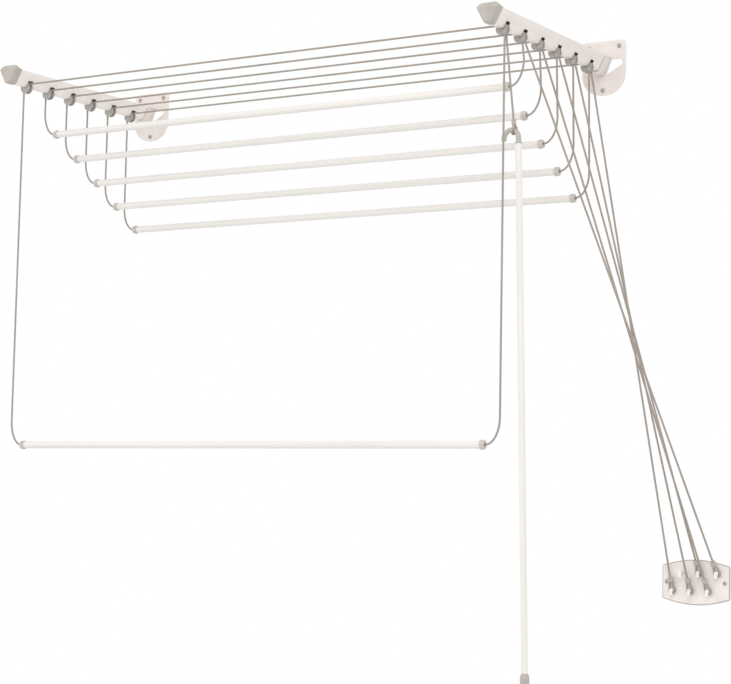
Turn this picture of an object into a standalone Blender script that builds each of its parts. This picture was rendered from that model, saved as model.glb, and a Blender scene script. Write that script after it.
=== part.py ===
"""Wall-fixed pulley clothes rack: two arms, six bars on cords, a hook plate and a pull pole.

Metres, +Z up, +X along the bars to the right, +Y into the wall. The origin is on the wall
plane, behind the left arm, level with the pulley axles. Pulleys are numbered from the front.
"""

import math

import bmesh
import bpy
from mathutils import Matrix, Vector

# Layout
ARM_SPACING = 1.040
PULLEY_COUNT = 6
PULLEY_PITCH = 0.063
REAR_GAP = 0.060
FRONT_OVERHANG = 0.037
BAR_LENGTH = 1.000
GAP = 0.0003

# Bars: how far each hangs below its axle at rest, front bar first
LOWERED_DROP = 0.6867
RAISED_DROP = 0.082
RAISED_STEP = 0.0382
BAR_RADIUS = 0.0065
BAR_WALL = 0.0008
PLUG_HEAD_RADIUS = 0.0082
PLUG_HEAD_LENGTH = 0.0080
PLUG_SPIGOT_LENGTH = 0.014
PLUG_BORE_CLEARANCE = 0.0005

# Arms
ARM_BOTTOM_WIDTH = 0.010
ARM_TOP_WIDTH = 0.038
ARM_HEIGHT = 0.027
ARM_FLOOR_Z = 0.0005
ARM_WALL = 0.0015
ARM_EDGE_RADIUS = 0.0012
CAP_LENGTH = 0.020
CAP_RIM = 0.0014
CAP_SPIGOT_LENGTH = 0.008
CAP_NOSE_BEVEL = 0.004
CAP_CROWN = 0.0068
CAP_CROWN_WIDTH = 0.028
CAP_CROWN_START = 0.008
CAP_CROWN_END = 0.013

# Pulleys and the carrier that holds them inside each arm
CORD_RADIUS = 0.00175
GROOVE_RADIUS = 0.00475
GROOVE_CLEARANCE = 0.0002
GROOVE_FLARE = 0.0006
FLANGE_THICKNESS = 0.0005
FLANGE_OVER_CORD = 0.0003
AXLE_RADIUS = 0.0020
AXLE_CLEARANCE = 0.00035
CHEEK_OVER_FLANGE = 0.00195
CHEEK_THICKNESS = 0.0024
CHEEK_NECK_WIDTH = 0.008
SPINE_WIDTH = 0.008
SPINE_OVER_CHEEK = 0.0017
SPINE_THICKNESS = 0.004
SLOT_CLEARANCE = 0.0014
SLOT_OVER_CHEEK = 0.0012
LUG_WALL = 0.0008
LUG_TOP_Z = -0.0020
LUG_HEIGHT = 0.0078
LUG_BORE_DEPTH = 0.0055

# Wall plates
PLATE_THICKNESS = 0.003
PLATE_WIDTH = 0.086
PLATE_TOP_Z = 0.0580
PLATE_BOTTOM_Z = -0.0415
PLATE_SHOULDER_Z = 0.004
PLATE_CORNER_RADIUS = 0.007
PLATE_OFFSET = {"left": 0.0100, "right": 0.0050}
PLATE_TONGUE_LENGTH = 0.024
UPPER_SCREW_SPREAD = 0.0305
UPPER_SCREW_Z = 0.047
LOWER_SCREW_Z = -0.0325
LOWER_SCREW_SHIFT = -0.0015
SCREW_HOLE_RADIUS = 0.0025
SCREW_HEAD_RADIUS = 0.0042
SCREW_HEAD_HEIGHT = 0.0018
WINDOW = ((0.0207, 0.0240), (0.0400, 0.0235), (0.0430, 0.0140), (0.0085, -0.0055))
CRADLE_LENGTH = 0.022
CRADLE_DROP = 0.0050
CRADLE_BOTTOM_WIDTH = 0.012
CRADLE_WALL = 0.0016
CRADLE_TOP_Z = 0.0235

# Hook plate
HOOK_PLATE_OFFSET = 0.192
HOOK_PLATE_Z = -0.9076
HOOK_PLATE_WIDTH = 0.125
HOOK_PLATE_SIDE_HEIGHT = 0.056
HOOK_PLATE_HEIGHT = 0.078
HOOK_PLATE_THICKNESS = 0.004
HOOK_PLATE_SCREW_SPREAD = 0.0535
HOOK_PITCH = 0.033
HOOK_STAGGER = 0.0165
HOOK_ROW_SPREAD = 0.0155
HOOK_ROW_RAISE = 0.001
PEG_RADIUS = 0.0032
PEG_LENGTH = 0.0100
LIP_WIDTH = 0.0064
LIP_THICKNESS = 0.0030
LIP_DROP = 0.0095

# Cord ends
BEND_HEIGHT = 0.045
LEAD_LENGTH = 0.018
FERRULE_LENGTH = 0.009
FERRULE_WALL = 0.0009
PEG_LOOP_REACH = 0.0135
POLE_LOOP_REACH = 0.0096

# Pole hanging in the front cord's loop
POLE_LEAN = math.radians(1.76)
POLE_TUBE_RADIUS = 0.0055
POLE_TUBE_WALL = 0.0008
POLE_TUBE_LENGTH = 0.866
POLE_HOOK_RADIUS = 0.0135
POLE_STEM_LENGTH = 0.011
POLE_STEM_INSERT = 0.015
POLE_TIP_DROP = 0.004
POLE_CAP_RADIUS = 0.0078
POLE_CAP_LENGTH = 0.038
POLE_CAP_SPIGOT = 0.020
POLE_HOLD_ANGLE = math.radians(62)
POLE_HOLD = Vector((ARM_SPACING + 0.0142, -0.355, -0.1674))

# Worked out from the sizes above
BAR_INSET = (ARM_SPACING - BAR_LENGTH) / 2
FERRULE_SPLIT = 2 * (CORD_RADIUS + GAP)
POLE_ROD_RADIUS = POLE_TUBE_RADIUS - POLE_TUBE_WALL - GAP
PLUG_BORE_RADIUS = CORD_RADIUS + PLUG_BORE_CLEARANCE
CORD_RUN_RADIUS = GROOVE_RADIUS + GAP + CORD_RADIUS
WHEEL_RADIUS = CORD_RUN_RADIUS + CORD_RADIUS + FLANGE_OVER_CORD
GROOVE_FLOOR_WIDTH = 2 * (CORD_RADIUS + GROOVE_CLEARANCE)
GROOVE_TOP_WIDTH = GROOVE_FLOOR_WIDTH + GROOVE_FLARE
WHEEL_WIDTH = GROOVE_TOP_WIDTH + 2 * FLANGE_THICKNESS
CHEEK_RADIUS = WHEEL_RADIUS + CHEEK_OVER_FLANGE
SLOT_TOP_Z = CHEEK_RADIUS + SLOT_OVER_CHEEK
SPINE_BOTTOM_Z = CHEEK_RADIUS + SPINE_OVER_CHEEK
LUG_BORE_RADIUS = CORD_RADIUS + GAP
LUG_HALF_WIDTH = LUG_BORE_RADIUS + LUG_WALL
LUG_DEPTH = 2 * LUG_HALF_WIDTH
LUG_BOTTOM_Z = LUG_TOP_Z - LUG_HEIGHT
CHEEK_INNER_Y = WHEEL_WIDTH / 2 + GAP
CHEEK_OUTER_Y = CHEEK_INNER_Y + CHEEK_THICKNESS
SLOT_HALF_WIDTH = CHEEK_OUTER_Y + SLOT_CLEARANCE
PULLEY_Y = [-REAR_GAP - PULLEY_PITCH * i for i in reversed(range(PULLEY_COUNT))]
ARM_FRONT_Y = PULLEY_Y[0] - FRONT_OVERHANG
ANCHOR_Y = -CHEEK_INNER_Y - LUG_DEPTH / 2
RIGHT_X = ARM_SPACING
BAR_DROPS = [LOWERED_DROP] + [RAISED_DROP + RAISED_STEP * i for i in range(PULLEY_COUNT - 1)]
HOOK_PLATE_X = RIGHT_X + HOOK_PLATE_OFFSET
PEG_MID_Y = -HOOK_PLATE_THICKNESS - PEG_LENGTH / 2


def clear_scene():
    for obj in list(bpy.data.objects):
        bpy.data.objects.remove(obj, do_unlink=True)


def material(name, colour, roughness, metallic=0.0):
    made = bpy.data.materials.new(name)
    made.use_nodes = True
    shader = made.node_tree.nodes["Principled BSDF"]
    shader.inputs["Base Color"].default_value = (*colour, 1.0)
    shader.inputs["Roughness"].default_value = roughness
    shader.inputs["Metallic"].default_value = metallic
    return made


def link(name, data, finish, parent=None, place=(0.0, 0.0, 0.0)):
    obj = bpy.data.objects.new(name, data)
    bpy.context.scene.collection.objects.link(obj)
    obj.location = place
    if finish:
        data.materials.append(finish)
    if parent:
        obj.parent = parent
    return obj


def mesh_from(name, shapes):
    """One mesh holding closed shapes, each a (points, faces) pair, with normals facing out."""
    made = bmesh.new()
    for points, faces in shapes:
        corners = [made.verts.new(point) for point in points]
        for face in faces:
            made.faces.new([corners[i] for i in face])
    bmesh.ops.recalc_face_normals(made, faces=made.faces)
    mesh = bpy.data.meshes.new(name)
    made.to_mesh(mesh)
    made.free()
    return mesh


def shade_round(mesh, angle=math.radians(35)):
    mesh.shade_smooth()
    mesh.set_sharp_from_angle(angle=angle)


def helper(name, shapes):
    """A hidden body for Boolean modifiers."""
    obj = link(name, mesh_from(name, shapes), None)
    obj.hide_render = True
    obj.display_type = "WIRE"
    return obj


def boolean(obj, other, operation):
    modifier = obj.modifiers.new(operation.title() + " " + other.name, "BOOLEAN")
    modifier.object = other
    modifier.operation = operation
    modifier.solver = "EXACT"


def axle_empty(name, place):
    return link(name, None, None, place=place)


def rings_shape(rings, closed=False):
    """Skins a row of equal rings of points. An open row is capped at both ends."""
    count = len(rings[0])
    points = [point for ring in rings for point in ring]
    pairs = [(i, i + 1) for i in range(len(rings) - 1)]
    if closed:
        pairs.append((len(rings) - 1, 0))
    faces = []
    for a, b in pairs:
        for k in range(count):
            n = (k + 1) % count
            faces.append((a * count + k, a * count + n, b * count + n, b * count + k))
    if not closed:
        faces.append(tuple(range(count)))
        faces.append(tuple((len(rings) - 1) * count + k for k in reversed(range(count))))
    return points, faces


def prism(outline, axis, start, end, centre=(0.0, 0.0, 0.0)):
    """Extrudes a 2D outline along X, Y or Z. The outline's pair is (y, z), (x, z) or (x, y)."""
    centre = Vector(centre)

    def at(pair, along):
        triple = list(pair)
        triple.insert("XYZ".index(axis), along)
        return centre + Vector(triple)

    return rings_shape([[at(pair, along) for pair in outline] for along in (start, end)])


def turned(profile, axis, segments, centre=(0.0, 0.0, 0.0)):
    """Turns a closed profile of (along, radius) pairs about an axis. It stays off the axis."""
    centre = Vector(centre)
    around = [2 * math.pi * k / segments for k in range(segments)]

    def at(along, radius, angle):
        triple = [radius * math.cos(angle), radius * math.sin(angle)]
        triple.insert("XYZ".index(axis), along)
        return centre + Vector(triple)

    rings = [[at(along, radius, angle) for along, radius in profile] for angle in around]
    return rings_shape(rings, closed=True)


def rod(radius, axis, start, end, segments, centre=(0.0, 0.0, 0.0)):
    outline = arc((0.0, 0.0), radius, 0.0, 2 * math.pi, segments)[:-1]
    return prism(outline, axis, start, end, centre)


def box(low, high):
    outline = [(low[0], low[1]), (high[0], low[1]), (high[0], high[1]), (low[0], high[1])]
    return prism(outline, "Z", low[2], high[2])


def arc(centre, radius, start, end, steps):
    """Points along a circle, from one angle to another, both ends included."""
    angles = [start + (end - start) * k / steps for k in range(steps + 1)]
    return [
        (centre[0] + radius * math.cos(angle), centre[1] + radius * math.sin(angle))
        for angle in angles
    ]


def rounded(outline, radius, steps=3):
    """The outline with each corner replaced by an arc-like curve of this size."""
    result = []
    count = len(outline)
    for k in range(count):
        corner = Vector(outline[k])
        before = (Vector(outline[k - 1]) - corner).normalized() * radius
        after = (Vector(outline[(k + 1) % count]) - corner).normalized() * radius
        for step in range(steps + 1):
            t = step / steps
            point = corner + before * (1 - t) ** 2 + after * t**2
            result.append((point.x, point.y))
    return result


def arm_section(inward=0.0):
    """The arm's trapezoid as (x, z) pairs, with every side moved in by a distance."""
    lean = (ARM_TOP_WIDTH - ARM_BOTTOM_WIDTH) / 2 / ARM_HEIGHT
    side_inward = inward * math.hypot(1.0, lean)

    def half_width(z):
        return ARM_BOTTOM_WIDTH / 2 + (z - ARM_FLOOR_Z) * lean - side_inward

    low = ARM_FLOOR_Z + inward
    high = ARM_FLOOR_Z + ARM_HEIGHT - inward
    return [
        (-half_width(low), low),
        (half_width(low), low),
        (half_width(high), high),
        (-half_width(high), high),
    ]


def make_arm(side, x, finish):
    """A hollow trapezoid section, slotted across its floor and lower sides at each pulley."""
    outer = rounded(arm_section(), ARM_EDGE_RADIUS)
    inner = rounded(arm_section(ARM_WALL), ARM_EDGE_RADIUS)
    rear_y = -PLATE_THICKNESS - GAP
    centre = (x, 0.0, 0.0)
    bar_stock = mesh_from(side + "_arm", [prism(outer, "Y", ARM_FRONT_Y, rear_y, centre)])
    arm = link(side + "_arm", bar_stock, finish)
    hollow = [prism(inner, "Y", ARM_FRONT_Y - ARM_WALL, rear_y + ARM_WALL, centre)]
    boolean(arm, helper(side + "_arm_hollow", hollow), "DIFFERENCE")
    slots = [
        box(
            (x - ARM_TOP_WIDTH, y - SLOT_HALF_WIDTH, ARM_FLOOR_Z - ARM_WALL),
            (x + ARM_TOP_WIDTH, y + SLOT_HALF_WIDTH, SLOT_TOP_Z),
        )
        for y in PULLEY_Y
    ]
    boolean(arm, helper(side + "_arm_slots", slots), "DIFFERENCE")


def cap_section(crown, inward=0.0):
    """The cap's six-sided section: the arm's trapezoid with a rim, under a raised crown."""
    low_left, low_right, high_right, high_left = arm_section(inward - CAP_RIM)
    half = CAP_CROWN_WIDTH / 2 - inward
    shoulder = ARM_FLOOR_Z + ARM_HEIGHT - inward
    top = shoulder + crown
    right = (high_right[0], shoulder)
    left = (high_left[0], shoulder)
    return [low_left, low_right, right, (half, top), (-half, top), left]


def make_end_cap(side, x, finish):
    """A moulded nose that closes the arm's front, with a spigot that plugs the section."""
    centre = (x, 0.0, 0.0)
    back_y = ARM_FRONT_Y - GAP
    front_y = back_y - CAP_LENGTH
    steps = (
        (back_y, cap_section(CAP_RIM)),
        (back_y - CAP_CROWN_START, cap_section(CAP_CROWN)),
        (back_y - CAP_CROWN_END, cap_section(CAP_CROWN)),
        (front_y + CAP_NOSE_BEVEL, cap_section(CAP_CROWN / 2)),
        (front_y, cap_section(CAP_RIM, CAP_NOSE_BEVEL)),
    )
    rings = []
    for y, section in steps:
        outline = rounded(section, ARM_EDGE_RADIUS)
        rings.append([Vector((x + px, y, pz)) for px, pz in outline])
    cap = link(side + "_end_cap", mesh_from(side + "_end_cap", [rings_shape(rings)]), finish)
    spigot = rounded(arm_section(ARM_WALL + GAP), ARM_EDGE_RADIUS)
    plug = [prism(spigot, "Y", back_y - CAP_RIM, back_y + CAP_SPIGOT_LENGTH, centre)]
    boolean(cap, helper(side + "_cap_spigot", plug), "UNION")


def cheek_outline():
    """A round cheek about the axle with a neck up to the spine, as (x, z) pairs."""
    half = CHEEK_NECK_WIDTH / 2
    start = math.acos(half / CHEEK_RADIUS)
    top = SPINE_BOTTOM_Z + SPINE_THICKNESS / 2
    turn = arc((0.0, 0.0), CHEEK_RADIUS, start, -math.pi - start, 18)
    return [(half, top)] + turn + [(-half, top)]


def make_carrier(side, x, finish):
    """The moulded strip inside an arm: a spine with a pair of cheeks and an axle per pulley.

    On the right arm each front cheek also has a lug, which holds the fixed end of the cord.
    """
    name = side + "_pulley_carrier"
    front_y = ARM_FRONT_Y + CAP_SPIGOT_LENGTH + GAP
    rear_y = -PLATE_THICKNESS - PLATE_TONGUE_LENGTH - GAP
    half = SPINE_WIDTH / 2
    spine_top = SPINE_BOTTOM_Z + SPINE_THICKNESS
    spine = box((x - half, front_y, SPINE_BOTTOM_Z), (x + half, rear_y, spine_top))
    carrier = link(name, mesh_from(name, [spine]), finish)
    cheeks = []
    axles = []
    for y in PULLEY_Y:
        for near, far in ((-CHEEK_OUTER_Y, -CHEEK_INNER_Y), (CHEEK_INNER_Y, CHEEK_OUTER_Y)):
            cheeks.append(prism(cheek_outline(), "Y", y + near, y + far, (x, 0.0, 0.0)))
        reach = CHEEK_INNER_Y + CHEEK_THICKNESS / 2
        axles.append(rod(AXLE_RADIUS, "Y", y - reach, y + reach, 12, (x, 0.0, 0.0)))
    boolean(carrier, helper(name + "_cheeks", cheeks), "UNION")
    boolean(carrier, helper(name + "_axles", axles), "UNION")
    if side != "right":
        return
    lug_x = x + CORD_RUN_RADIUS
    lugs = []
    bores = []
    for y in PULLEY_Y:
        low = (lug_x - LUG_HALF_WIDTH, y - CHEEK_INNER_Y - LUG_DEPTH, LUG_BOTTOM_Z)
        high = (lug_x + LUG_HALF_WIDTH, y - CHEEK_INNER_Y - GAP / 2, LUG_TOP_Z)
        lugs.append(box(low, high))
        top = LUG_BOTTOM_Z + LUG_BORE_DEPTH
        centre = (lug_x, y + ANCHOR_Y, 0.0)
        bores.append(rod(LUG_BORE_RADIUS, "Z", LUG_BOTTOM_Z - LUG_DEPTH, top, 12, centre))
    boolean(carrier, helper(name + "_lugs", lugs), "UNION")
    boolean(carrier, helper(name + "_lug_bores", bores), "DIFFERENCE")


def wheel_mesh():
    half = WHEEL_WIDTH / 2
    bore = AXLE_RADIUS + AXLE_CLEARANCE
    profile = [
        (-half, bore),
        (half, bore),
        (half, WHEEL_RADIUS),
        (GROOVE_TOP_WIDTH / 2, WHEEL_RADIUS),
        (GROOVE_FLOOR_WIDTH / 2, GROOVE_RADIUS),
        (-GROOVE_FLOOR_WIDTH / 2, GROOVE_RADIUS),
        (-GROOVE_TOP_WIDTH / 2, WHEEL_RADIUS),
        (-half, WHEEL_RADIUS),
    ]
    mesh = mesh_from("pulley_wheel", [turned(profile, "Y", 16)])
    shade_round(mesh)
    return mesh


def plate_outline():
    """The wall plate: a flat top with rounded corners over a deep rounded bottom."""
    half = PLATE_WIDTH / 2
    radius = PLATE_CORNER_RADIUS
    depth = PLATE_SHOULDER_Z - PLATE_BOTTOM_Z
    bowl = []
    for k in range(17):
        angle = math.pi * k / 16
        bowl.append((-half * math.cos(angle), PLATE_SHOULDER_Z - depth * math.sin(angle) ** 0.8))
    right_top = arc((half - radius, PLATE_TOP_Z - radius), radius, 0.0, math.pi / 2, 4)
    left_top = arc((radius - half, PLATE_TOP_Z - radius), radius, math.pi / 2, math.pi, 4)
    return bowl + right_top + left_top


def plate_screw_places(middle):
    """The screws of the plate whose middle is at this x, as (x, z) by name."""
    return {
        "upper_left": (middle - UPPER_SCREW_SPREAD, UPPER_SCREW_Z),
        "upper_right": (middle + UPPER_SCREW_SPREAD, UPPER_SCREW_Z),
        "lower": (middle + LOWER_SCREW_SHIFT, LOWER_SCREW_Z),
    }


def cradle_section():
    """The U-shaped seat under the arm's rear end, as (x, z) pairs, clear of the arm by a gap."""
    inner = arm_section(-GAP)
    lean = (inner[2][0] - inner[1][0]) / (inner[2][1] - inner[1][1])
    inner_top = inner[1][0] + (CRADLE_TOP_Z - inner[1][1]) * lean
    bottom = ARM_FLOOR_Z - CRADLE_DROP
    half = CRADLE_BOTTOM_WIDTH / 2
    outer_top = inner_top + CRADLE_WALL
    right = [(inner[1][0], inner[1][1]), (inner_top, CRADLE_TOP_Z), (outer_top, CRADLE_TOP_Z)]
    right_half = [(half, bottom), *reversed(right)]
    return right_half + [(-px, pz) for px, pz in reversed(right_half)]


def make_wall_plate(side, x, finish, screw_finish):
    """The pressed plate that carries an arm on a tongue, with its three screws."""
    name = side + "_wall_plate"
    middle = x + PLATE_OFFSET[side]
    sheet = prism(plate_outline(), "Y", -PLATE_THICKNESS, 0.0, (middle, 0.0, 0.0))
    plate = link(name, mesh_from(name, [sheet]), finish)
    tongue = rounded(arm_section(ARM_WALL + GAP), ARM_EDGE_RADIUS)
    front_y = -PLATE_THICKNESS - PLATE_TONGUE_LENGTH
    solid = [prism(tongue, "Y", front_y, -PLATE_THICKNESS / 2, (x, 0.0, 0.0))]
    boolean(plate, helper(name + "_tongue", solid), "UNION")
    cradle_front = -PLATE_THICKNESS - CRADLE_LENGTH
    cradle = prism(cradle_section(), "Y", cradle_front, -PLATE_THICKNESS / 2, (x, 0.0, 0.0))
    boolean(plate, helper(name + "_cradle", [cradle]), "UNION")
    window = rounded(WINDOW, PLATE_THICKNESS)
    openings = [prism(window, "Y", -2 * PLATE_THICKNESS, PLATE_THICKNESS, (x, 0.0, 0.0))]
    for sx, sz in plate_screw_places(middle).values():
        hole_start = -2 * PLATE_THICKNESS
        hole = rod(SCREW_HOLE_RADIUS, "Y", hole_start, PLATE_THICKNESS, 16, (sx, 0.0, sz))
        openings.append(hole)
    boolean(plate, helper(name + "_openings", openings), "DIFFERENCE")
    for where, (sx, sz) in plate_screw_places(middle).items():
        place = (sx, -PLATE_THICKNESS, sz)
        link(side + "_plate_screw_" + where, screw_mesh(), screw_finish, place=place)


def screw_mesh():
    """A domed screw head on a shank that stops flush with the plate's back."""
    radii = (
        (PLATE_THICKNESS - GAP, SCREW_HOLE_RADIUS - GAP),
        (-GAP, SCREW_HOLE_RADIUS - GAP),
        (-GAP, SCREW_HEAD_RADIUS),
        (-GAP - SCREW_HEAD_HEIGHT * 0.5, SCREW_HEAD_RADIUS * 0.95),
        (-GAP - SCREW_HEAD_HEIGHT, SCREW_HEAD_RADIUS * 0.6),
    )
    rings = []
    for y, radius in radii:
        circle = arc((0.0, 0.0), radius, 0.0, 2 * math.pi, 12)[:-1]
        rings.append([Vector((cx, y, cz)) for cx, cz in circle])
    mesh = mesh_from("plate_screw", [rings_shape(rings)])
    shade_round(mesh)
    return mesh


def hook_places():
    """Peg centres on the hook plate as (x, z), by name: two rows of three, staggered."""
    places = {}
    for row, sign in (("lower", -1), ("upper", 1)):
        for column, name in ((-1, "left"), (0, "middle"), (1, "right")):
            x = HOOK_PLATE_X + column * HOOK_PITCH + sign * HOOK_STAGGER / 2
            z = HOOK_PLATE_Z + HOOK_ROW_RAISE + sign * HOOK_ROW_SPREAD
            places[row + "_" + name] = (x, z)
    return places


def hook_plate_outline():
    """Straight sides with bowed top and bottom edges, about the plate's centre."""
    half = HOOK_PLATE_WIDTH / 2
    side = HOOK_PLATE_SIDE_HEIGHT / 2
    bow = HOOK_PLATE_HEIGHT / 2 - side
    top = []
    for k in range(13):
        x = half - HOOK_PLATE_WIDTH * k / 12
        top.append((x, side + bow * (1 - (x / half) ** 2)))
    return top + [(-x, -z) for x, z in top]


def make_hook_plate(finish):
    """The plate low on the wall, with six pegs whose lips turn down to trap a loop."""
    middle = (HOOK_PLATE_X, 0.0, HOOK_PLATE_Z)
    body = prism(hook_plate_outline(), "Y", -HOOK_PLATE_THICKNESS, 0.0, middle)
    plate = link("hook_plate", mesh_from("hook_plate", [body]), finish)
    pegs = []
    lips = []
    end_y = -HOOK_PLATE_THICKNESS - PEG_LENGTH
    half = LIP_WIDTH / 2
    for x, z in hook_places().values():
        centre = (x, 0.0, z)
        root_y = -HOOK_PLATE_THICKNESS / 2
        pegs.append(rod(PEG_RADIUS, "Y", end_y - LIP_THICKNESS / 2, root_y, 14, centre))
        tip = arc((0.0, -LIP_DROP + half), half, math.pi, 2 * math.pi, 6)
        crown = arc((0.0, 0.0), half, 0.0, math.pi, 6)
        lips.append(prism(tip + crown, "Y", end_y - LIP_THICKNESS, end_y, centre))
    boolean(plate, helper("hook_plate_pegs", pegs), "UNION")
    boolean(plate, helper("hook_plate_lips", lips), "UNION")
    holes = []
    for sign in (-1, 1):
        hole_centre = (HOOK_PLATE_X + sign * HOOK_PLATE_SCREW_SPREAD, 0.0, HOOK_PLATE_Z)
        reach = HOOK_PLATE_THICKNESS
        holes.append(rod(SCREW_HOLE_RADIUS, "Y", -2 * reach, reach, 14, hole_centre))
    boolean(plate, helper("hook_plate_holes", holes), "DIFFERENCE")


def make_bar(number, finish, plug_finish):
    """A tube closed by two flanged plugs, each with a hole for the cord along the bar."""
    y = PULLEY_Y[number - 1]
    z = -BAR_DROPS[number - 1]
    middle = (ARM_SPACING / 2, y, z)
    carrier = axle_empty("bar_%d_slide" % number, middle)
    half = BAR_LENGTH / 2 - PLUG_HEAD_LENGTH - GAP
    bore = BAR_RADIUS - BAR_WALL
    wall = [(-half, bore), (half, bore), (half, BAR_RADIUS), (-half, BAR_RADIUS)]
    tube = mesh_from("bar_tube", [turned(wall, "X", 20)])
    shade_round(tube)
    link("bar_%d" % number, tube, finish, carrier)
    for side, sign in (("left", -1), ("right", 1)):
        plug = mesh_from("bar_plug", [turned(plug_profile(sign), "X", 12)])
        shade_round(plug)
        link("bar_%d_%s_plug" % (number, side), plug, plug_finish, carrier)


def plug_profile(sign):
    """A double-ringed head outside the tube and a spigot inside it, from the bar's middle."""
    end = BAR_LENGTH / 2
    seat = end - PLUG_HEAD_LENGTH
    inner = seat - PLUG_SPIGOT_LENGTH
    spigot = BAR_RADIUS - BAR_WALL - GAP
    waist = (seat + end) / 2
    mouth = PLUG_BORE_RADIUS * 1.6
    pairs = [
        (inner, PLUG_BORE_RADIUS),
        (end - PLUG_BORE_RADIUS, PLUG_BORE_RADIUS),
        (end, mouth),
        (end, PLUG_HEAD_RADIUS * 0.92),
        (waist, PLUG_HEAD_RADIUS * 0.94),
        (seat, PLUG_HEAD_RADIUS),
        (seat, spigot),
        (inner, spigot),
    ]
    return [(sign * along, radius) for along, radius in pairs]


def unit(vector):
    return vector.normalized()


def loop_targets():
    """Each cord's ring: its centre, its radius and the direction of the peg or rod through it."""
    places = hook_places()
    pegs = ("lower_left", "lower_middle", "upper_middle", "lower_right", "upper_right")
    ring = PEG_RADIUS + GAP + CORD_RADIUS
    targets = {}
    for number, name in zip(range(PULLEY_COUNT, 1, -1), pegs):
        x, z = places[name]
        targets[number] = (Vector((x, PEG_MID_Y, z)), ring, Vector((0.0, 1.0, 0.0)))
    turn = POLE_HOLD_ANGLE + POLE_LEAN
    rod_axis = Vector((math.sin(turn), 0.0, -math.cos(turn)))
    targets[1] = (POLE_HOLD, POLE_ROD_RADIUS + GAP + CORD_RADIUS, rod_axis)
    return targets


def pull_points(number):
    """The pulling run: the point where it leaves the wheel, its lead, its ferrule and axes."""
    y = PULLEY_Y[number - 1]
    centre, ring, through = loop_targets()[number]
    hub = Vector((RIGHT_X, y, 0.0))
    aim = unit(Vector((hub.x + CORD_RUN_RADIUS, y, 0.0)) - centre)
    foot = centre + aim * (POLE_LOOP_REACH if number == 1 else PEG_LOOP_REACH)
    toward = foot - hub
    leave = math.atan2(toward.x - CORD_RUN_RADIUS, -toward.z)
    start = hub + Vector((math.cos(leave), 0.0, math.sin(leave))) * CORD_RUN_RADIUS
    lead = start + Vector((math.sin(leave), 0.0, -math.cos(leave))) * LEAD_LENGTH
    up = unit(lead - foot)
    return {
        "leave": leave,
        "lead": lead,
        "foot": foot,
        "up": up,
        "across": unit(through.cross(up)),
        "centre": centre,
        "ring": ring,
        "ring_up": unit(up - through * up.dot(through)),
    }


def ring_points(pull):
    """The loop below the ferrule: down one side, round the peg or rod, and up the other."""
    across = pull["across"]
    up = pull["ring_up"]
    half = FERRULE_SPLIT / 2
    out_angle = math.radians(35)
    points = [pull["foot"] - across * half]
    steps = 8
    for k in range(steps + 1):
        angle = math.pi - out_angle + (math.pi + 2 * out_angle) * k / steps
        out = across * math.cos(angle) + up * math.sin(angle)
        points.append(pull["centre"] + out * pull["ring"])
    points.append(pull["foot"] + across * half)
    return points


def bend_points(x, y, z, sign):
    """The quarter bend from the bar's end up into the strand, from the strand downwards."""
    reach = BAR_INSET + CORD_RUN_RADIUS
    points = []
    for k in range(8):
        angle = math.pi / 2 * k / 7
        along = x + sign * (BAR_INSET - reach * math.cos(angle))
        points.append(Vector((along, y, z + BEND_HEIGHT * (1 - math.sin(angle)))))
    return points


def cord_points(number):
    """One cord, from its anchor on the right arm through the bar to its pull loop."""
    y = PULLEY_Y[number - 1]
    z = -BAR_DROPS[number - 1]
    fixed_x = RIGHT_X + CORD_RUN_RADIUS
    anchor_top = LUG_BOTTOM_Z + LUG_BORE_DEPTH - GAP
    points = [Vector((fixed_x, y + ANCHOR_Y, anchor_top))]
    points.append(Vector((fixed_x, y + ANCHOR_Y, LUG_BOTTOM_Z - CORD_RADIUS)))
    points += bend_points(RIGHT_X, y, z, -1)
    points += reversed(bend_points(0.0, y, z, 1))
    points += wrap_points(0.0, y, math.pi, math.pi / 2)
    pull = pull_points(number)
    points += wrap_points(RIGHT_X, y, math.pi / 2, pull["leave"])
    points.append(pull["lead"])
    slant = pull["across"] * (FERRULE_SPLIT / 2)
    points.append(pull["foot"] + pull["up"] * FERRULE_LENGTH - slant)
    points += ring_points(pull)
    points.append(pull["foot"] + pull["up"] * (FERRULE_LENGTH - GAP) + slant)
    return points


def wrap_points(x, y, start, end):
    return [
        Vector((x + px, y, pz))
        for px, pz in arc((0.0, 0.0), CORD_RUN_RADIUS, start, end, 6)
    ]


def make_cord(number, finish):
    name = "bar_%d_cord" % number
    curve = bpy.data.curves.new(name, "CURVE")
    curve.dimensions = "3D"
    curve.bevel_depth = CORD_RADIUS
    curve.bevel_resolution = 2
    curve.use_fill_caps = True
    spline = curve.splines.new("POLY")
    points = cord_points(number)
    spline.points.add(len(points) - 1)
    for target, place in zip(spline.points, points):
        target.co = (*place, 1.0)
    link(name, curve, finish)


def make_ferrule(number, finish):
    """The oval sleeve that closes the cord's end loop, along the pulling run."""
    pull = pull_points(number)
    name = "pull_ferrule_%d" % number
    split = FERRULE_SPLIT / 2
    inner = CORD_RADIUS + GAP
    outer = inner + FERRULE_WALL

    def oval(radius):
        right = arc((split, 0.0), radius, -math.pi / 2, math.pi / 2, 6)
        left = arc((-split, 0.0), radius, math.pi / 2, 3 * math.pi / 2, 6)
        return right + left

    depth = pull["across"].cross(pull["up"])
    rings = []
    section = ((outer, 0.0), (outer, FERRULE_LENGTH), (inner, FERRULE_LENGTH), (inner, 0.0))
    for radius, along in section:
        lift = pull["up"] * along
        rings.append([pull["across"] * px + depth * py + lift for px, py in oval(radius)])
    empty = axle_empty("pull_end_%d" % number, pull["foot"])
    mesh = mesh_from(name, [rings_shape(rings, closed=True)])
    shade_round(mesh)
    link(name, mesh, finish, empty)


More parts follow.
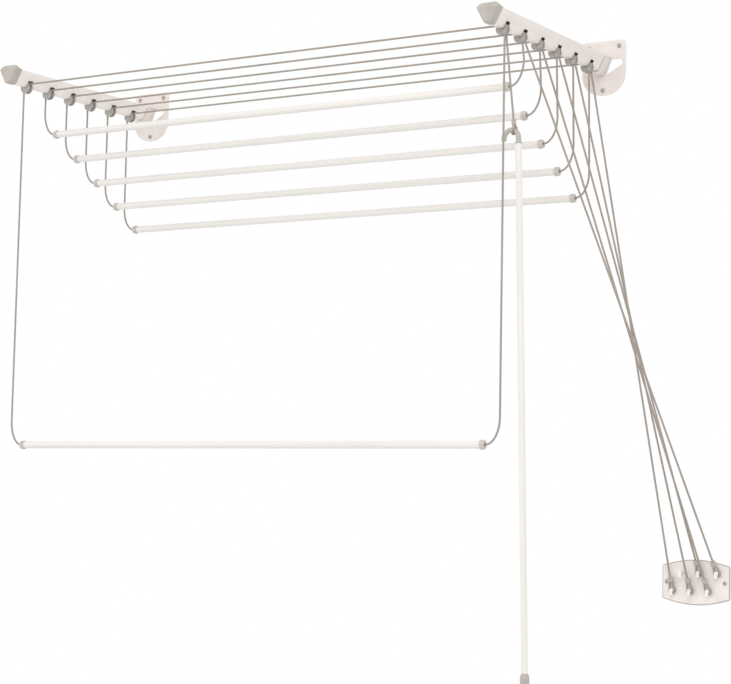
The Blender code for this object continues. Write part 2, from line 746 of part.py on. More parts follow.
def swept(path, radius, segments, side):
    """A round rod along a path that lies in one plane, whose normal is given."""
    rings = []
    for k, point in enumerate(path):
        before = path[max(k - 1, 0)]
        after = path[min(k + 1, len(path) - 1)]
        along = unit(after - before)
        other = side.cross(along)
        circle = arc((0.0, 0.0), radius, 0.0, 2 * math.pi, segments)[:-1]
        rings.append([point + side * px + other * py for px, py in circle])
    return rings_shape(rings)


def make_pole(tube_finish, hook_finish, cap_finish):
    """The pulling pole: a cane-shaped hook, its tube and an end cap, hung from the front loop."""
    swing = axle_empty("pole_swing", POLE_HOLD)
    swing.rotation_euler = (0.0, -POLE_LEAN, 0.0)
    over = Vector((math.cos(POLE_HOLD_ANGLE), 0.0, math.sin(POLE_HOLD_ANGLE)))
    heart = over * -POLE_HOOK_RADIUS
    stem_x = heart.x + POLE_HOOK_RADIUS
    tube_top = heart.z - POLE_STEM_LENGTH
    path = [Vector((stem_x, 0.0, tube_top - POLE_STEM_INSERT))]
    arch = arc((0.0, 0.0), POLE_HOOK_RADIUS, 0.0, math.pi, 12)
    path += [heart + Vector((px, 0.0, pz)) for px, pz in arch]
    path.append(heart + Vector((-POLE_HOOK_RADIUS, 0.0, -POLE_TIP_DROP)))
    hook = mesh_from("pole_hook", [swept(path, POLE_ROD_RADIUS, 12, Vector((0.0, 1.0, 0.0)))])
    shade_round(hook)
    link("pole_hook", hook, hook_finish, swing)
    bottom = tube_top - POLE_TUBE_LENGTH
    bore = POLE_TUBE_RADIUS - POLE_TUBE_WALL
    outer = POLE_TUBE_RADIUS
    wall = [(bottom, bore), (tube_top, bore), (tube_top, outer), (bottom, outer)]
    tube = mesh_from("pole_tube", [turned(wall, "Z", 18, (stem_x, 0.0, 0.0))])
    shade_round(tube)
    link("pole_tube", tube, tube_finish, swing)
    levels = (
        (bottom + POLE_CAP_SPIGOT, bore - GAP),
        (bottom - GAP, bore - GAP),
        (bottom - GAP, POLE_CAP_RADIUS * 0.9),
        (bottom - POLE_CAP_LENGTH * 0.15, POLE_CAP_RADIUS),
        (bottom - POLE_CAP_LENGTH * 0.9, POLE_CAP_RADIUS),
        (bottom - POLE_CAP_LENGTH, POLE_CAP_RADIUS * 0.7),
    )
    rings = []
    for z, radius in levels:
        circle = arc((stem_x, 0.0), radius, 0.0, 2 * math.pi, 16)[:-1]
        rings.append([Vector((px, py, z)) for px, py in circle])
    cap = mesh_from("pole_cap", [rings_shape(rings)])
    shade_round(cap)
    link("pole_cap", cap, cap_finish, swing)


def main():
    clear_scene()
    painted = material("painted white steel", (0.83, 0.80, 0.77), 0.38)
    bar_white = material("white bar tube", (0.86, 0.85, 0.83), 0.32)
    grey = material("grey moulded plastic", (0.50, 0.47, 0.44), 0.48)
    hook_grey = material("light grey plastic", (0.47, 0.47, 0.43), 0.45)
    white_plastic = material("white moulded plastic", (0.80, 0.77, 0.75), 0.42)
    cord_grey = material("braided grey cord", (0.26, 0.23, 0.21), 0.85)
    clear = material("pale ferrule plastic", (0.72, 0.68, 0.67), 0.35)
    zinc = material("zinc screw steel", (0.55, 0.53, 0.50), 0.35, 0.9)
    wheel = wheel_mesh()
    for side, x in (("left", 0.0), ("right", RIGHT_X)):
        make_wall_plate(side, x, painted, zinc)
        make_arm(side, x, painted)
        make_end_cap(side, x, grey)
        make_carrier(side, x, grey)
        for number, y in enumerate(PULLEY_Y, 1):
            link("%s_wheel_%d" % (side, number), wheel.copy(), grey, place=(x, y, 0.0))
    make_hook_plate(white_plastic)
    for number in range(1, PULLEY_COUNT + 1):
        make_bar(number, bar_white, grey)
        make_cord(number, cord_grey)
        make_ferrule(number, clear)
    make_pole(bar_white, hook_grey, grey)


main()
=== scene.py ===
"""Looks of the wall-fixed pulley clothes rack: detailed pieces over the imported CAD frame.

Metres, in the frame of the CAD: +X along the bars, +Y into the wall, +Z up.
"""

import math

import bmesh
import bpy
from mathutils import Matrix, Vector


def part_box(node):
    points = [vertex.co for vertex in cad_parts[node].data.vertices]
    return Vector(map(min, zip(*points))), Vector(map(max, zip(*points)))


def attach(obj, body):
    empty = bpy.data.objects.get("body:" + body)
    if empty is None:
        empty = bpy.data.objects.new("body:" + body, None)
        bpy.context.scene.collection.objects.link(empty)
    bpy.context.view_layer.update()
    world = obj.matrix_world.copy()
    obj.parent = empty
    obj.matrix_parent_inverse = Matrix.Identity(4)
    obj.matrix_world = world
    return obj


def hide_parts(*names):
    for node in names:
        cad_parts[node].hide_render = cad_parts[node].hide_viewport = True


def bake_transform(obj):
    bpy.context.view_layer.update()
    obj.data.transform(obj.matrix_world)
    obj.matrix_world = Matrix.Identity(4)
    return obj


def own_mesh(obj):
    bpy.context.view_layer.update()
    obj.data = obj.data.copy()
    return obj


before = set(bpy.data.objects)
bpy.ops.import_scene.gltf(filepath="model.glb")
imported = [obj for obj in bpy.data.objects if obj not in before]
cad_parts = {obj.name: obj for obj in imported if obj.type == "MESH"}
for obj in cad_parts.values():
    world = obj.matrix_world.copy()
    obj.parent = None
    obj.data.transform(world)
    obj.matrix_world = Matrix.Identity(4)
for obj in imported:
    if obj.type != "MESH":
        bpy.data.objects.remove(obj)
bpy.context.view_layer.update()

# Camera, for a picture of 731 x 684
CAMERA_PLACE = Vector((2.6357, -3.2935, -0.8110))
CAMERA_AIM = Vector((-0.53355, 0.84137, 0.08614))
CAMERA_ROLL = math.radians(1.29)
SENSOR_WIDTH = 36.0
FOCAL_LENGTH = 100.57

# Sizes that the frame's boxes don't give, the same as the CAD's
PULLEY_COUNT = 6
GAP = 0.0003

# Arms and end caps
ARM_BOTTOM_WIDTH = 0.010
ARM_TOP_WIDTH = 0.038
ARM_WALL = 0.0015
CAP_RIM = 0.0014
CAP_CROWN = 0.0068
CAP_CROWN_WIDTH = 0.028
CAP_FACE_BEVEL = 0.0038
CAP_CORNER_RADIUS = 0.0026
CAP_STEPS = (0.0, 0.01, 0.03, 0.08, 0.14, 0.2, 0.26, 0.32, 0.38, 0.44, 0.6, 0.66, 0.72, 0.78, 0.84)
CAP_STEPS += (0.89, 0.93, 0.96, 0.98, 0.993, 1.0)
ARM_CORNER_RADIUS = 0.0014
ARM_INNER_CORNER_RADIUS = 0.0010
SLOT_CORNER_RADIUS = 0.0012

# Pulleys and their carriers
CORD_RADIUS = 0.00175
GROOVE_RADIUS = 0.00475
CORD_RUN_RADIUS = GROOVE_RADIUS + GAP + CORD_RADIUS
WHEEL_RADIUS = CORD_RUN_RADIUS + CORD_RADIUS + GAP
WHEEL_WIDTH = 0.0055
WHEEL_BORE = 0.00235
AXLE_RADIUS = 0.0020
CHEEK_RADIUS = 0.0108
CHEEK_THICKNESS = 0.0024
CHEEK_INNER_Y = WHEEL_WIDTH / 2 + GAP
CHEEK_OUTER_Y = CHEEK_INNER_Y + CHEEK_THICKNESS
CHEEK_NECK_WIDTH = 0.008
SLOT_TOP_Z = 0.0120
SLOT_HALF_WIDTH = CHEEK_OUTER_Y + 0.0014
SPINE_BOTTOM_Z = 0.0125
SPINE_THICKNESS = 0.004
SPINE_WIDTH = 0.008
LUG_BORE_RADIUS = CORD_RADIUS + GAP
LUG_HALF_WIDTH = LUG_BORE_RADIUS + 0.0008
LUG_HEIGHT = 0.0078
LUG_BORE_DEPTH = 0.0055
LUG_TOP_Z = -0.0020
LUG_BOTTOM_Z = LUG_TOP_Z - LUG_HEIGHT
ANCHOR_Y = -CHEEK_INNER_Y - LUG_HALF_WIDTH

# Cord ends
BEND_HEIGHT = 0.045
LEAD_LENGTH = 0.018
FERRULE_LENGTH = 0.009
FERRULE_SPLIT = 2 * (CORD_RADIUS + GAP)
PEG_LOOP_REACH = 0.0135
POLE_LOOP_REACH = 0.0096

# Wall plates
PLATE_THICKNESS = 0.003
PLATE_OFFSET = {"left": 0.0100, "right": 0.0050}
PLATE_SHOULDER_Z = 0.004
PLATE_CORNER_RADIUS = 0.007
SCREW_HOLE_RADIUS = 0.0025
WINDOW = ((0.0207, 0.0240), (0.0400, 0.0235), (0.0430, 0.0140), (0.0085, -0.0055))
CRADLE_LENGTH = 0.022
CRADLE_DROP = 0.0050
CRADLE_BOTTOM_WIDTH = 0.012
CRADLE_WALL = 0.0016
CRADLE_TOP_Z = 0.0235
WINDOW_CORNER_RADIUS = 0.003
WALL_SCREW_RADIUS = 0.0042
WALL_SCREW_HEIGHT = 0.0016

# Hook plate
HOOK_PLATE_SIDE_HEIGHT = 0.056
HOOK_PLATE_FRONT_Y = -0.004
HOOK_PLATE_CORNER_RADIUS = 0.005
HOOK_PLATE_RIM_WIDTH = 0.0019
HOOK_PLATE_SCREW_SPREAD = 0.0535
HOOK_SCREW_RADIUS = 0.0036
HOOK_SCREW_HEIGHT = 0.0012
HOOK_PITCH = 0.033
HOOK_STAGGER = 0.0165
HOOK_ROW_SPREAD = 0.0155
HOOK_ROW_RAISE = 0.001
PEG_RADIUS = 0.0032
PEG_LENGTH = 0.0100
PEG_MID_Y = HOOK_PLATE_FRONT_Y - PEG_LENGTH / 2
LIP_WIDTH = 0.0064
LIP_DROP = 0.0095
LIP_THICKNESS = 0.0030
HOLDS = {6: "lower_left", 5: "lower_middle", 4: "upper_middle", 3: "lower_right", 2: "upper_right"}

# Bars
BAR_WALL = 0.0008
PLUG_HEAD_LENGTH = 0.0080
PLUG_BORE_RADIUS = CORD_RADIUS + 0.0005

# Pole
POLE_HOLD_ANGLE = math.radians(62)
POLE_LEAN = math.radians(1.76)
POLE_TUBE_RADIUS = 0.0055
POLE_TUBE_WALL = 0.0008
POLE_TUBE_LENGTH = 0.866
POLE_ROD_RADIUS = POLE_TUBE_RADIUS - POLE_TUBE_WALL - GAP
POLE_HOOK_RADIUS = 0.0135
POLE_TIP_DROP = 0.004
POLE_STEM_LENGTH = 0.011
POLE_STEM_INSERT = 0.015
POLE_CAP_RADIUS = 0.0078
POLE_CAP_LENGTH = 0.038

# Fine detail that only the looks have
CORD_SIDES = 12
ROUND_SIDES = 48

# Floor and light
FLOOR_Z = -2.30
FLOOR_RADIUS = 7.0
WORLD_LIGHT = 0.96
WORLD_SEEN = 1.0
KEY_POWER = 44.0
FILL_POWER = 15.0


def middle_of(node):
    low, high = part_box(node)
    return (Vector(low) + Vector(high)) / 2


def wheel_centre(side, number):
    return middle_of("%s_wheel_%d" % (side, number))


ARM_X = {side: wheel_centre(side, 1).x for side in ("left", "right")}
PULLEY_Y = [wheel_centre("left", n + 1).y for n in range(PULLEY_COUNT)]
BAR_Z = [middle_of("bar_%d" % (n + 1)).z for n in range(PULLEY_COUNT)]
BAR_ENDS = (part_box("bar_1_left_plug")[0][0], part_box("bar_1_right_plug")[1][0])
POLE_HOLD = Vector((ARM_X["right"] + 0.0142, -0.355, -0.1674))


# Materials


def new_material(name, colour, roughness, **sockets):
    """A material whose Principled shader has these values. A socket's spaces are underscores."""
    made = bpy.data.materials.new(name)
    made.use_nodes = True
    shader = made.node_tree.nodes["Principled BSDF"]
    shader.inputs["Base Color"].default_value = (*colour, 1.0)
    shader.inputs["Roughness"].default_value = roughness
    for socket, value in sockets.items():
        shader.inputs[socket.replace("_", " ")].default_value = value
    return made


def add(tree, kind, **values):
    node = tree.nodes.new(kind)
    for key, value in values.items():
        setattr(node, key, value)
    return node


def noise(tree, scale, detail=3.0, stretch=(1.0, 1.0, 1.0)):
    """A noise value over the piece's own metres, stretched along an axis where asked."""
    place = add(tree, "ShaderNodeTexCoord")
    mapping = add(tree, "ShaderNodeMapping")
    mapping.inputs["Scale"].default_value = stretch
    tree.links.new(place.outputs["Object"], mapping.inputs["Vector"])
    texture = add(tree, "ShaderNodeTexNoise")
    texture.inputs["Scale"].default_value = scale
    texture.inputs["Detail"].default_value = detail
    tree.links.new(mapping.outputs["Vector"], texture.inputs["Vector"])
    return texture.outputs["Fac"]


def ramp(tree, value, stops):
    """A colour ramp over a value. Each stop is a position and a colour."""
    node = add(tree, "ShaderNodeValToRGB")
    node.color_ramp.elements[0].position = stops[0][0]
    node.color_ramp.elements[0].color = (*stops[0][1], 1.0)
    node.color_ramp.elements[1].position = stops[-1][0]
    node.color_ramp.elements[1].color = (*stops[-1][1], 1.0)
    for position, colour in stops[1:-1]:
        node.color_ramp.elements.new(position).color = (*colour, 1.0)
    tree.links.new(value, node.inputs["Fac"])
    return node.outputs["Color"]


def span(tree, value, low, high):
    """The value's 0.3 to 0.7 spread over low to high."""
    node = add(tree, "ShaderNodeMapRange")
    node.inputs["From Min"].default_value = 0.3
    node.inputs["From Max"].default_value = 0.7
    node.inputs["To Min"].default_value = low
    node.inputs["To Max"].default_value = high
    tree.links.new(value, node.inputs["Value"])
    return node.outputs["Result"]


def bump(tree, heights, strength):
    """Chains bumps, each a height value and its depth in metres, into the shader's normal."""
    normal = None
    for height, depth in heights:
        node = add(tree, "ShaderNodeBump")
        node.inputs["Strength"].default_value = strength
        node.inputs["Distance"].default_value = depth
        tree.links.new(height, node.inputs["Height"])
        if normal:
            tree.links.new(normal, node.inputs["Normal"])
        normal = node.outputs["Normal"]
    feed(tree, normal, "Normal")


def feed(tree, value, socket):
    tree.links.new(value, tree.nodes["Principled BSDF"].inputs[socket])


def tint(colour, factor):
    return tuple(channel * factor for channel in colour)


def painted(name, colour, roughness, corner_shade_colour):
    """Powder coat: a slight orange peel, faint cloudiness and painted shade that darkens the corners
    by ambient occlusion.
    """
    made = new_material(name, colour, roughness, Coat_Weight=0.12, Coat_Roughness=0.25)
    tree = made.node_tree
    cloud = noise(tree, 14.0, 5.0)
    stops = ((0.30, tint(colour, 0.965)), (0.52, colour), (0.72, tint(colour, 1.02)))
    # Painted shade: ambient occlusion mixes the colour towards the shade colour in corners and
    # creases.
    occlusion = add(tree, "ShaderNodeAmbientOcclusion")
    occlusion.inputs["Distance"].default_value = 0.006
    mix = add(tree, "ShaderNodeMix", data_type="RGBA")
    tree.links.new(occlusion.outputs["AO"], mix.inputs["Factor"])
    mix.inputs["A"].default_value = (*corner_shade_colour, 1.0)
    tree.links.new(ramp(tree, cloud, stops), mix.inputs["B"])
    feed(tree, mix.outputs["Result"], "Base Color")
    feed(tree, span(tree, noise(tree, 60.0, 4.0), roughness - 0.05, roughness + 0.07), "Roughness")
    peel = noise(tree, 1400.0, 2.0)
    dust = noise(tree, 260.0, 4.0)
    bump(tree, ((peel, 0.00006), (dust, 0.00004)), 0.5)
    return made


def tube_paint(name, colour, roughness, along=(0.03, 1.0, 1.0)):
    """Coated drawn tube: faint streaks along it, and a fine satin grain."""
    made = new_material(name, colour, roughness, Coat_Weight=0.2, Coat_Roughness=0.2)
    tree = made.node_tree
    streak = noise(tree, 90.0, 4.0, along)
    stops = ((0.32, tint(colour, 0.955)), (0.55, colour), (0.75, tint(colour, 1.02)))
    feed(tree, ramp(tree, streak, stops), "Base Color")
    rough = span(tree, noise(tree, 220.0, 3.0, along), roughness - 0.05, roughness + 0.08)
    feed(tree, rough, "Roughness")
    bump(tree, ((noise(tree, 1600.0, 2.0), 0.00003), (streak, 0.00005)), 0.5)
    return made


def moulded(name, colour, roughness, grain_depth=0.00005):
    """Moulded plastic: flow clouds in the colour, a fine eroded grain and worn gloss."""
    made = new_material(name, colour, roughness, IOR=1.49)
    tree = made.node_tree
    cloud = noise(tree, 40.0, 6.0)
    stops = ((0.28, tint(colour, 0.90)), (0.50, colour), (0.74, tint(colour, 1.07)))
    feed(tree, ramp(tree, cloud, stops), "Base Color")
    feed(tree, span(tree, noise(tree, 130.0, 5.0), roughness - 0.07, roughness + 0.09), "Roughness")
    grain = add(tree, "ShaderNodeTexVoronoi", feature="SMOOTH_F1")
    grain.inputs["Scale"].default_value = 2600.0
    place = add(tree, "ShaderNodeTexCoord")
    tree.links.new(place.outputs["Object"], grain.inputs["Vector"])
    bump(tree, ((grain.outputs["Distance"], grain_depth), (noise(tree, 420.0, 3.0), 0.00004)), 0.6)
    return made


def calculate(tree, operation, *values):
    """A sum over numbers and node outputs."""
    node = add(tree, "ShaderNodeMath", operation=operation)
    for socket, value in zip(node.inputs, values):
        if isinstance(value, float):
            socket.default_value = value
        else:
            tree.links.new(value, socket)
    return node.outputs[0]


def multiplied(tree, first, second):
    mix = add(tree, "ShaderNodeMix", data_type="RGBA", blend_type="MULTIPLY")
    mix.inputs["Factor"].default_value = 1.0
    tree.links.new(first, mix.inputs["A"])
    tree.links.new(second, mix.inputs["B"])
    return mix.outputs["Result"]


def wave(tree, u, v, across, along):
    """A diagonal cosine stripe over u and v, from 0 to 1."""
    turned_u = calculate(tree, "MULTIPLY", u, across * 2 * math.pi)
    angle = calculate(tree, "MULTIPLY_ADD", v, along * 2 * math.pi, turned_u)
    return calculate(tree, "MULTIPLY_ADD", calculate(tree, "COSINE", angle), 0.5, 0.5)


def braided(name, colour, strands=4, strands_per_metre=330.0):
    """A round braid: two families of diagonal strands, darker between them as painted shade and
    lighter on their crowns as a painted highlight, over fibres that catch the light.
    """
    made = new_material(name, colour, 0.82, Sheen_Weight=0.25, Sheen_Roughness=0.5)
    tree = made.node_tree
    uv = add(tree, "ShaderNodeUVMap", uv_map="run")
    split = add(tree, "ShaderNodeSeparateXYZ")
    tree.links.new(uv.outputs["UV"], split.inputs["Vector"])
    around, along = split.outputs["X"], split.outputs["Y"]
    first = wave(tree, around, along, strands, strands_per_metre)
    second = wave(tree, around, along, strands, -strands_per_metre)
    top = calculate(tree, "MAXIMUM", first, second)
    fibre = noise(tree, 900.0, 5.0)
    ageing = noise(tree, 9.0, 3.0)
    # Painted shade and highlight: the weave's colour is darkest in the grooves between strands and
    # lightest on their crowns.
    stops = ((0.25, tint(colour, 0.45)), (0.62, tint(colour, 0.92)), (0.98, tint(colour, 1.18)))
    flecks = ramp(tree, fibre, ((0.30, (0.80, 0.80, 0.80)), (0.70, (1.12, 1.10, 1.08))))
    patches = ramp(tree, ageing, ((0.3, (0.9, 0.9, 0.9)), (0.7, (1.05, 1.05, 1.05))))
    shaded_weave = multiplied(tree, ramp(tree, top, stops), flecks)
    feed(tree, multiplied(tree, shaded_weave, patches), "Base Color")
    feed(tree, span(tree, fibre, 0.74, 0.92), "Roughness")
    bump(tree, ((top, 0.00035), (fibre, 0.00008)), 0.8)
    return made


def plated(name, colour, roughness):
    """Zinc-plated steel with fine turning lines and dull blotches."""
    made = new_material(name, colour, roughness, Metallic=1.0)
    tree = made.node_tree
    blotch = noise(tree, 300.0, 4.0)
    stops = ((0.3, tint(colour, 0.8)), (0.55, colour), (0.75, tint(colour, 1.1)))
    feed(tree, ramp(tree, blotch, stops), "Base Color")
    feed(tree, span(tree, noise(tree, 900.0, 3.0), roughness - 0.08, roughness + 0.14), "Roughness")
    bump(tree, ((noise(tree, 2500.0, 2.0), 0.00003), (blotch, 0.00003)), 0.6)
    return made


# The last colour of each coat is its painted shade in the corners.
PAINT = painted("arm_powder_coat", (0.84, 0.79, 0.765), 0.42, (0.70, 0.65, 0.625))
# The wall plate's coat is the arm's coat darkened: painted shade, as the plate faces away from the
# light.
SHADED_PLATE_PAINT = painted("plate_powder_coat_darkened_as_shade", (0.76, 0.70, 0.67), 0.42, (0.64, 0.58, 0.555))
TUBE = tube_paint("bar_coat", (0.80, 0.775, 0.75), 0.34)
TUBE_UPRIGHT = tube_paint("pole_coat", (0.80, 0.775, 0.75), 0.34, (1.0, 1.0, 0.03))
GREY = moulded("warm_grey_moulding", (0.455, 0.425, 0.395), 0.46)
PLUG_GREY = moulded("bar_plug_moulding", (0.57, 0.54, 0.51), 0.44)
WHEEL_GREY = moulded("pulley_nylon", (0.39, 0.362, 0.34), 0.38, 0.00003)
HOOK_GREY = moulded("pole_hook_moulding", (0.47, 0.465, 0.43), 0.42)
PLATE_WHITE = moulded("hook_plate_moulding", (0.82, 0.775, 0.75), 0.36, 0.00003)
RIM_GREY = moulded("hook_plate_rim", (0.47, 0.465, 0.445), 0.40, 0.00003)
FERRULE_PALE = moulded("ferrule_nylon", (0.44, 0.40, 0.37), 0.33, 0.00002)
CORD = braided("braided_cord", (0.40, 0.355, 0.32))
ZINC = plated("zinc_plate", (0.50, 0.47, 0.44), 0.36)


# Shapes


def mesh_of(name, shapes):
    """One mesh of closed shapes, each a (points, faces) pair, with normals facing out."""
    made = bmesh.new()
    for points, faces in shapes:
        corners = [made.verts.new(point) for point in points]
        for face in faces:
            made.faces.new([corners[i] for i in face])
    bmesh.ops.recalc_face_normals(made, faces=made.faces)
    mesh = bpy.data.meshes.new(name)
    made.to_mesh(mesh)
    made.free()
    return mesh


def piece(name, mesh, finish, smooth_angle=math.radians(32)):
    obj = bpy.data.objects.new(name, mesh)
    bpy.context.scene.collection.objects.link(obj)
    mesh.materials.append(finish)
    shade(mesh, smooth_angle)
    return obj


def shade(mesh, smooth_angle):
    mesh.shade_smooth()
    mesh.set_sharp_from_angle(angle=smooth_angle)


def solid(name, shapes, finish, smooth_angle=math.radians(32)):
    return piece(name, mesh_of(name, shapes), finish, smooth_angle)


def hang_on(obj, body, slot, *nodes):
    """The piece rides on a body and stands for these nodes. The slot is not used."""
    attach(obj, body)
    if nodes:
        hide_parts(*nodes)


def arc(centre, radius, start, end, steps):
    angles = [start + (end - start) * k / steps for k in range(steps + 1)]
    return [
        (centre[0] + radius * math.cos(angle), centre[1] + radius * math.sin(angle))
        for angle in angles
    ]


def circle(radius, sides=ROUND_SIDES):
    return arc((0.0, 0.0), radius, 0.0, 2 * math.pi, sides)[:-1]


def rounded(outline, radius, steps=5):
    """The outline with each corner turned into a curve that starts this far before it."""
    result = []
    count = len(outline)
    for k in range(count):
        corner = Vector(outline[k])
        before = (Vector(outline[k - 1]) - corner).normalized() * radius
        after = (Vector(outline[(k + 1) % count]) - corner).normalized() * radius
        for step in range(steps + 1):
            t = step / steps
            point = corner + before * (1 - t) ** 2 + after * t**2
            result.append((point.x, point.y))
    return result


def skin(rings, closed=False):
    """Faces over a row of equal rings. An open row is capped at both ends."""
    count = len(rings[0])
    points = [point for ring in rings for point in ring]
    pairs = [(i, i + 1) for i in range(len(rings) - 1)]
    if closed:
        pairs.append((len(rings) - 1, 0))
    faces = []
    for a, b in pairs:
        for k in range(count):
            n = (k + 1) % count
            faces.append((a * count + k, a * count + n, b * count + n, b * count + k))
    if not closed:
        faces.append(tuple(range(count)))
        faces.append(tuple((len(rings) - 1) * count + k for k in reversed(range(count))))
    return points, faces


def stand(pair, along, axis, centre):
    """A 2D pair and a distance along an axis, as a point about a centre."""
    triple = list(pair)
    triple.insert("XYZ".index(axis), along)
    return Vector(centre) + Vector(triple)


def ring_of(outline, along, axis, centre):
    return [stand(pair, along, axis, centre) for pair in outline]


def prism(outline, axis, start, end, centre=(0.0, 0.0, 0.0), edge=0.0):
    """An extruded outline. With an edge, both ends draw in by that much in a rounded step."""
    if not edge:
        return skin([ring_of(outline, along, axis, centre) for along in (start, end)])
    way = 1 if end > start else -1
    steps = [(0.0, edge), (0.3 * edge, 0.3 * edge), (edge, 0.0)]
    levels = [(start + way * along, draw) for along, draw in steps]
    levels += [(end - way * along, draw) for along, draw in reversed(steps)]
    return skin([ring_of(inset(outline, draw), along, axis, centre) for along, draw in levels])


def inset(outline, distance):
    """The outline with every point moved inwards, at right angles to its neighbours."""
    area = sum(
        outline[k - 1][0] * outline[k][1] - outline[k][0] * outline[k - 1][1]
        for k in range(len(outline))
    )
    way = 1 if area > 0 else -1
    result = []
    for k, (x, y) in enumerate(outline):
        before = outline[k - 1]
        after = outline[(k + 1) % len(outline)]
        tangent = Vector((after[0] - before[0], after[1] - before[1])).normalized()
        result.append((x - way * tangent.y * distance, y + way * tangent.x * distance))
    return result


def turned(profile, axis, centre=(0.0, 0.0, 0.0), sides=ROUND_SIDES):
    """A closed profile of (along, radius) pairs turned about an axis, staying off it."""
    rings = []
    for px, py in circle(1.0, sides):
        rings.append([stand((r * px, r * py), along, axis, centre) for along, r in profile])
    return skin(rings, closed=True)


def solid_turned(profile, axis, centre=(0.0, 0.0, 0.0), sides=ROUND_SIDES):
    """A solid of revolution from an open profile of (along, radius) pairs, capped flat."""
    return skin([ring_of(circle(radius, sides), along, axis, centre) for along, radius in profile])


def box(low, high):
    outline = [(low[0], low[1]), (high[0], low[1]), (high[0], high[1]), (low[0], high[1])]
    return prism(outline, "Z", low[2], high[2])


def cut(obj, name, shapes):
    """Takes shapes out of the piece for good."""
    tool = bpy.data.objects.new(name, mesh_of(name, shapes))
    bpy.context.scene.collection.objects.link(tool)
    modifier = obj.modifiers.new(name, "BOOLEAN")
    modifier.object = tool
    modifier.operation = "DIFFERENCE"
    modifier.solver = "EXACT"
    apply_modifiers(obj)
    bpy.data.objects.remove(tool, do_unlink=True)


def apply_modifiers(obj):
    graph = bpy.context.evaluated_depsgraph_get()
    old = obj.data
    obj.data = bpy.data.meshes.new_from_object(obj.evaluated_get(graph))
    obj.modifiers.clear()
    bpy.data.meshes.remove(old)


def soften(obj, width, segments=2):
    """Rounds the piece's sharp edges."""
    modifier = obj.modifiers.new("soft edges", "BEVEL")
    modifier.width = width
    modifier.segments = segments
    modifier.limit_method = "ANGLE"
    modifier.angle_limit = math.radians(40)
    modifier.use_clamp_overlap = True
    apply_modifiers(obj)
    shade(obj.data, math.radians(50))


def run_frames(path):
    """Two directions square to the path at each of its points, turning as little as they can."""
    directions = []
    for k in range(len(path)):
        before = path[max(k - 1, 0)]
        after = path[min(k + 1, len(path) - 1)]
        directions.append((after - before).normalized())
    start = Vector((0.0, 1.0, 0.0))
    if abs(directions[0].dot(start)) > 0.9:
        start = Vector((1.0, 0.0, 0.0))
    side = (start - directions[0] * start.dot(directions[0])).normalized()
    frames = []
    for direction in directions:
        side = (side - direction * side.dot(direction)).normalized()
        frames.append((side, direction.cross(side)))
    return frames


def tube(path, radius, sides=CORD_SIDES):
    """A round run along a path, as a mesh whose "run" map is round it and along it in metres."""
    path = [Vector(point) for point in path]
    frames = run_frames(path)
    lengths = [0.0]
    for a, b in zip(path[:-1], path[1:]):
        lengths.append(lengths[-1] + (b - a).length)
    made = bmesh.new()
    layer = made.loops.layers.uv.new("run")
    ring = circle(radius, sides)
    rings = [
        [made.verts.new(point + side * px + other * py) for px, py in ring]
        for point, (side, other) in zip(path, frames)
    ]
    for k in range(len(rings) - 1):
        for n in range(sides):
            m = (n + 1) % sides
            face = made.faces.new((rings[k][n], rings[k][m], rings[k + 1][m], rings[k + 1][n]))
            corners = ((n, k), (n + 1, k), (n + 1, k + 1), (n, k + 1))
            for loop, (round_it, along) in zip(face.loops, corners):
                loop[layer].uv = (round_it / sides, lengths[along])
    made.faces.new(list(reversed(rings[0])))
    made.faces.new(rings[-1])
    bmesh.ops.recalc_face_normals(made, faces=made.faces)
    mesh = bpy.data.meshes.new("run")
    made.to_mesh(mesh)
    made.free()
    return mesh


# Camera


def make_camera():
    data = bpy.data.cameras.new("view")
    data.sensor_width = SENSOR_WIDTH
    data.lens = FOCAL_LENGTH
    data.clip_end = 60.0
    camera = bpy.data.objects.new("view", data)
    bpy.context.scene.collection.objects.link(camera)
    aim = CAMERA_AIM.to_track_quat("-Z", "Y").to_matrix().to_4x4()
    roll = Matrix.Rotation(CAMERA_ROLL, 4, "Z")
    camera.matrix_world = Matrix.Translation(CAMERA_PLACE) @ aim @ roll
    bpy.context.scene.camera = camera


# Cords


def hook_places():
    """The pegs of the hook plate, as (x, z) by row and column."""
    plate = middle_of("hook_plate")
    places = {}
    for row, sign in (("lower", -1), ("upper", 1)):
        for column, name in ((-1, "left"), (0, "middle"), (1, "right")):
            x = plate.x + column * HOOK_PITCH + sign * HOOK_STAGGER / 2
            places[row + "_" + name] = (x, plate.z + HOOK_ROW_RAISE + sign * HOOK_ROW_SPREAD)
    return places


def pull_of(number):
    """The pulling run: where it leaves the wheel, its ferrule's foot, and the loop's frame."""
    y = PULLEY_Y[number - 1]
    hub = Vector((ARM_X["right"], y, 0.0))
    if number == 1:
        centre = POLE_HOLD
        ring = POLE_ROD_RADIUS + GAP + CORD_RADIUS
        turn = POLE_HOLD_ANGLE + POLE_LEAN
        through = Vector((math.sin(turn), 0.0, -math.cos(turn)))
    else:
        x, z = hook_places()[HOLDS[number]]
        centre = Vector((x, PEG_MID_Y, z))
        ring = PEG_RADIUS + GAP + CORD_RADIUS
        through = Vector((0.0, 1.0, 0.0))
    aim = (hub + Vector((CORD_RUN_RADIUS, 0.0, 0.0)) - centre).normalized()
    foot = centre + aim * (POLE_LOOP_REACH if number == 1 else PEG_LOOP_REACH)
    toward = foot - hub
    leave = math.atan2(toward.x - CORD_RUN_RADIUS, -toward.z)
    start = hub + Vector((math.cos(leave), 0.0, math.sin(leave))) * CORD_RUN_RADIUS
    lead = start + Vector((math.sin(leave), 0.0, -math.cos(leave))) * LEAD_LENGTH
    up = (lead - foot).normalized()
    return {
        "leave": leave,
        "lead": lead,
        "foot": foot,
        "up": up,
        "across": through.cross(up).normalized(),
        "centre": centre,
        "ring": ring,
        "ring_up": (up - through * up.dot(through)).normalized(),
    }


def wrap(side, y, start, end, steps=14):
    turn = arc((0.0, 0.0), CORD_RUN_RADIUS, start, end, steps)
    return [Vector((ARM_X[side] + px, y, pz)) for px, pz in turn]


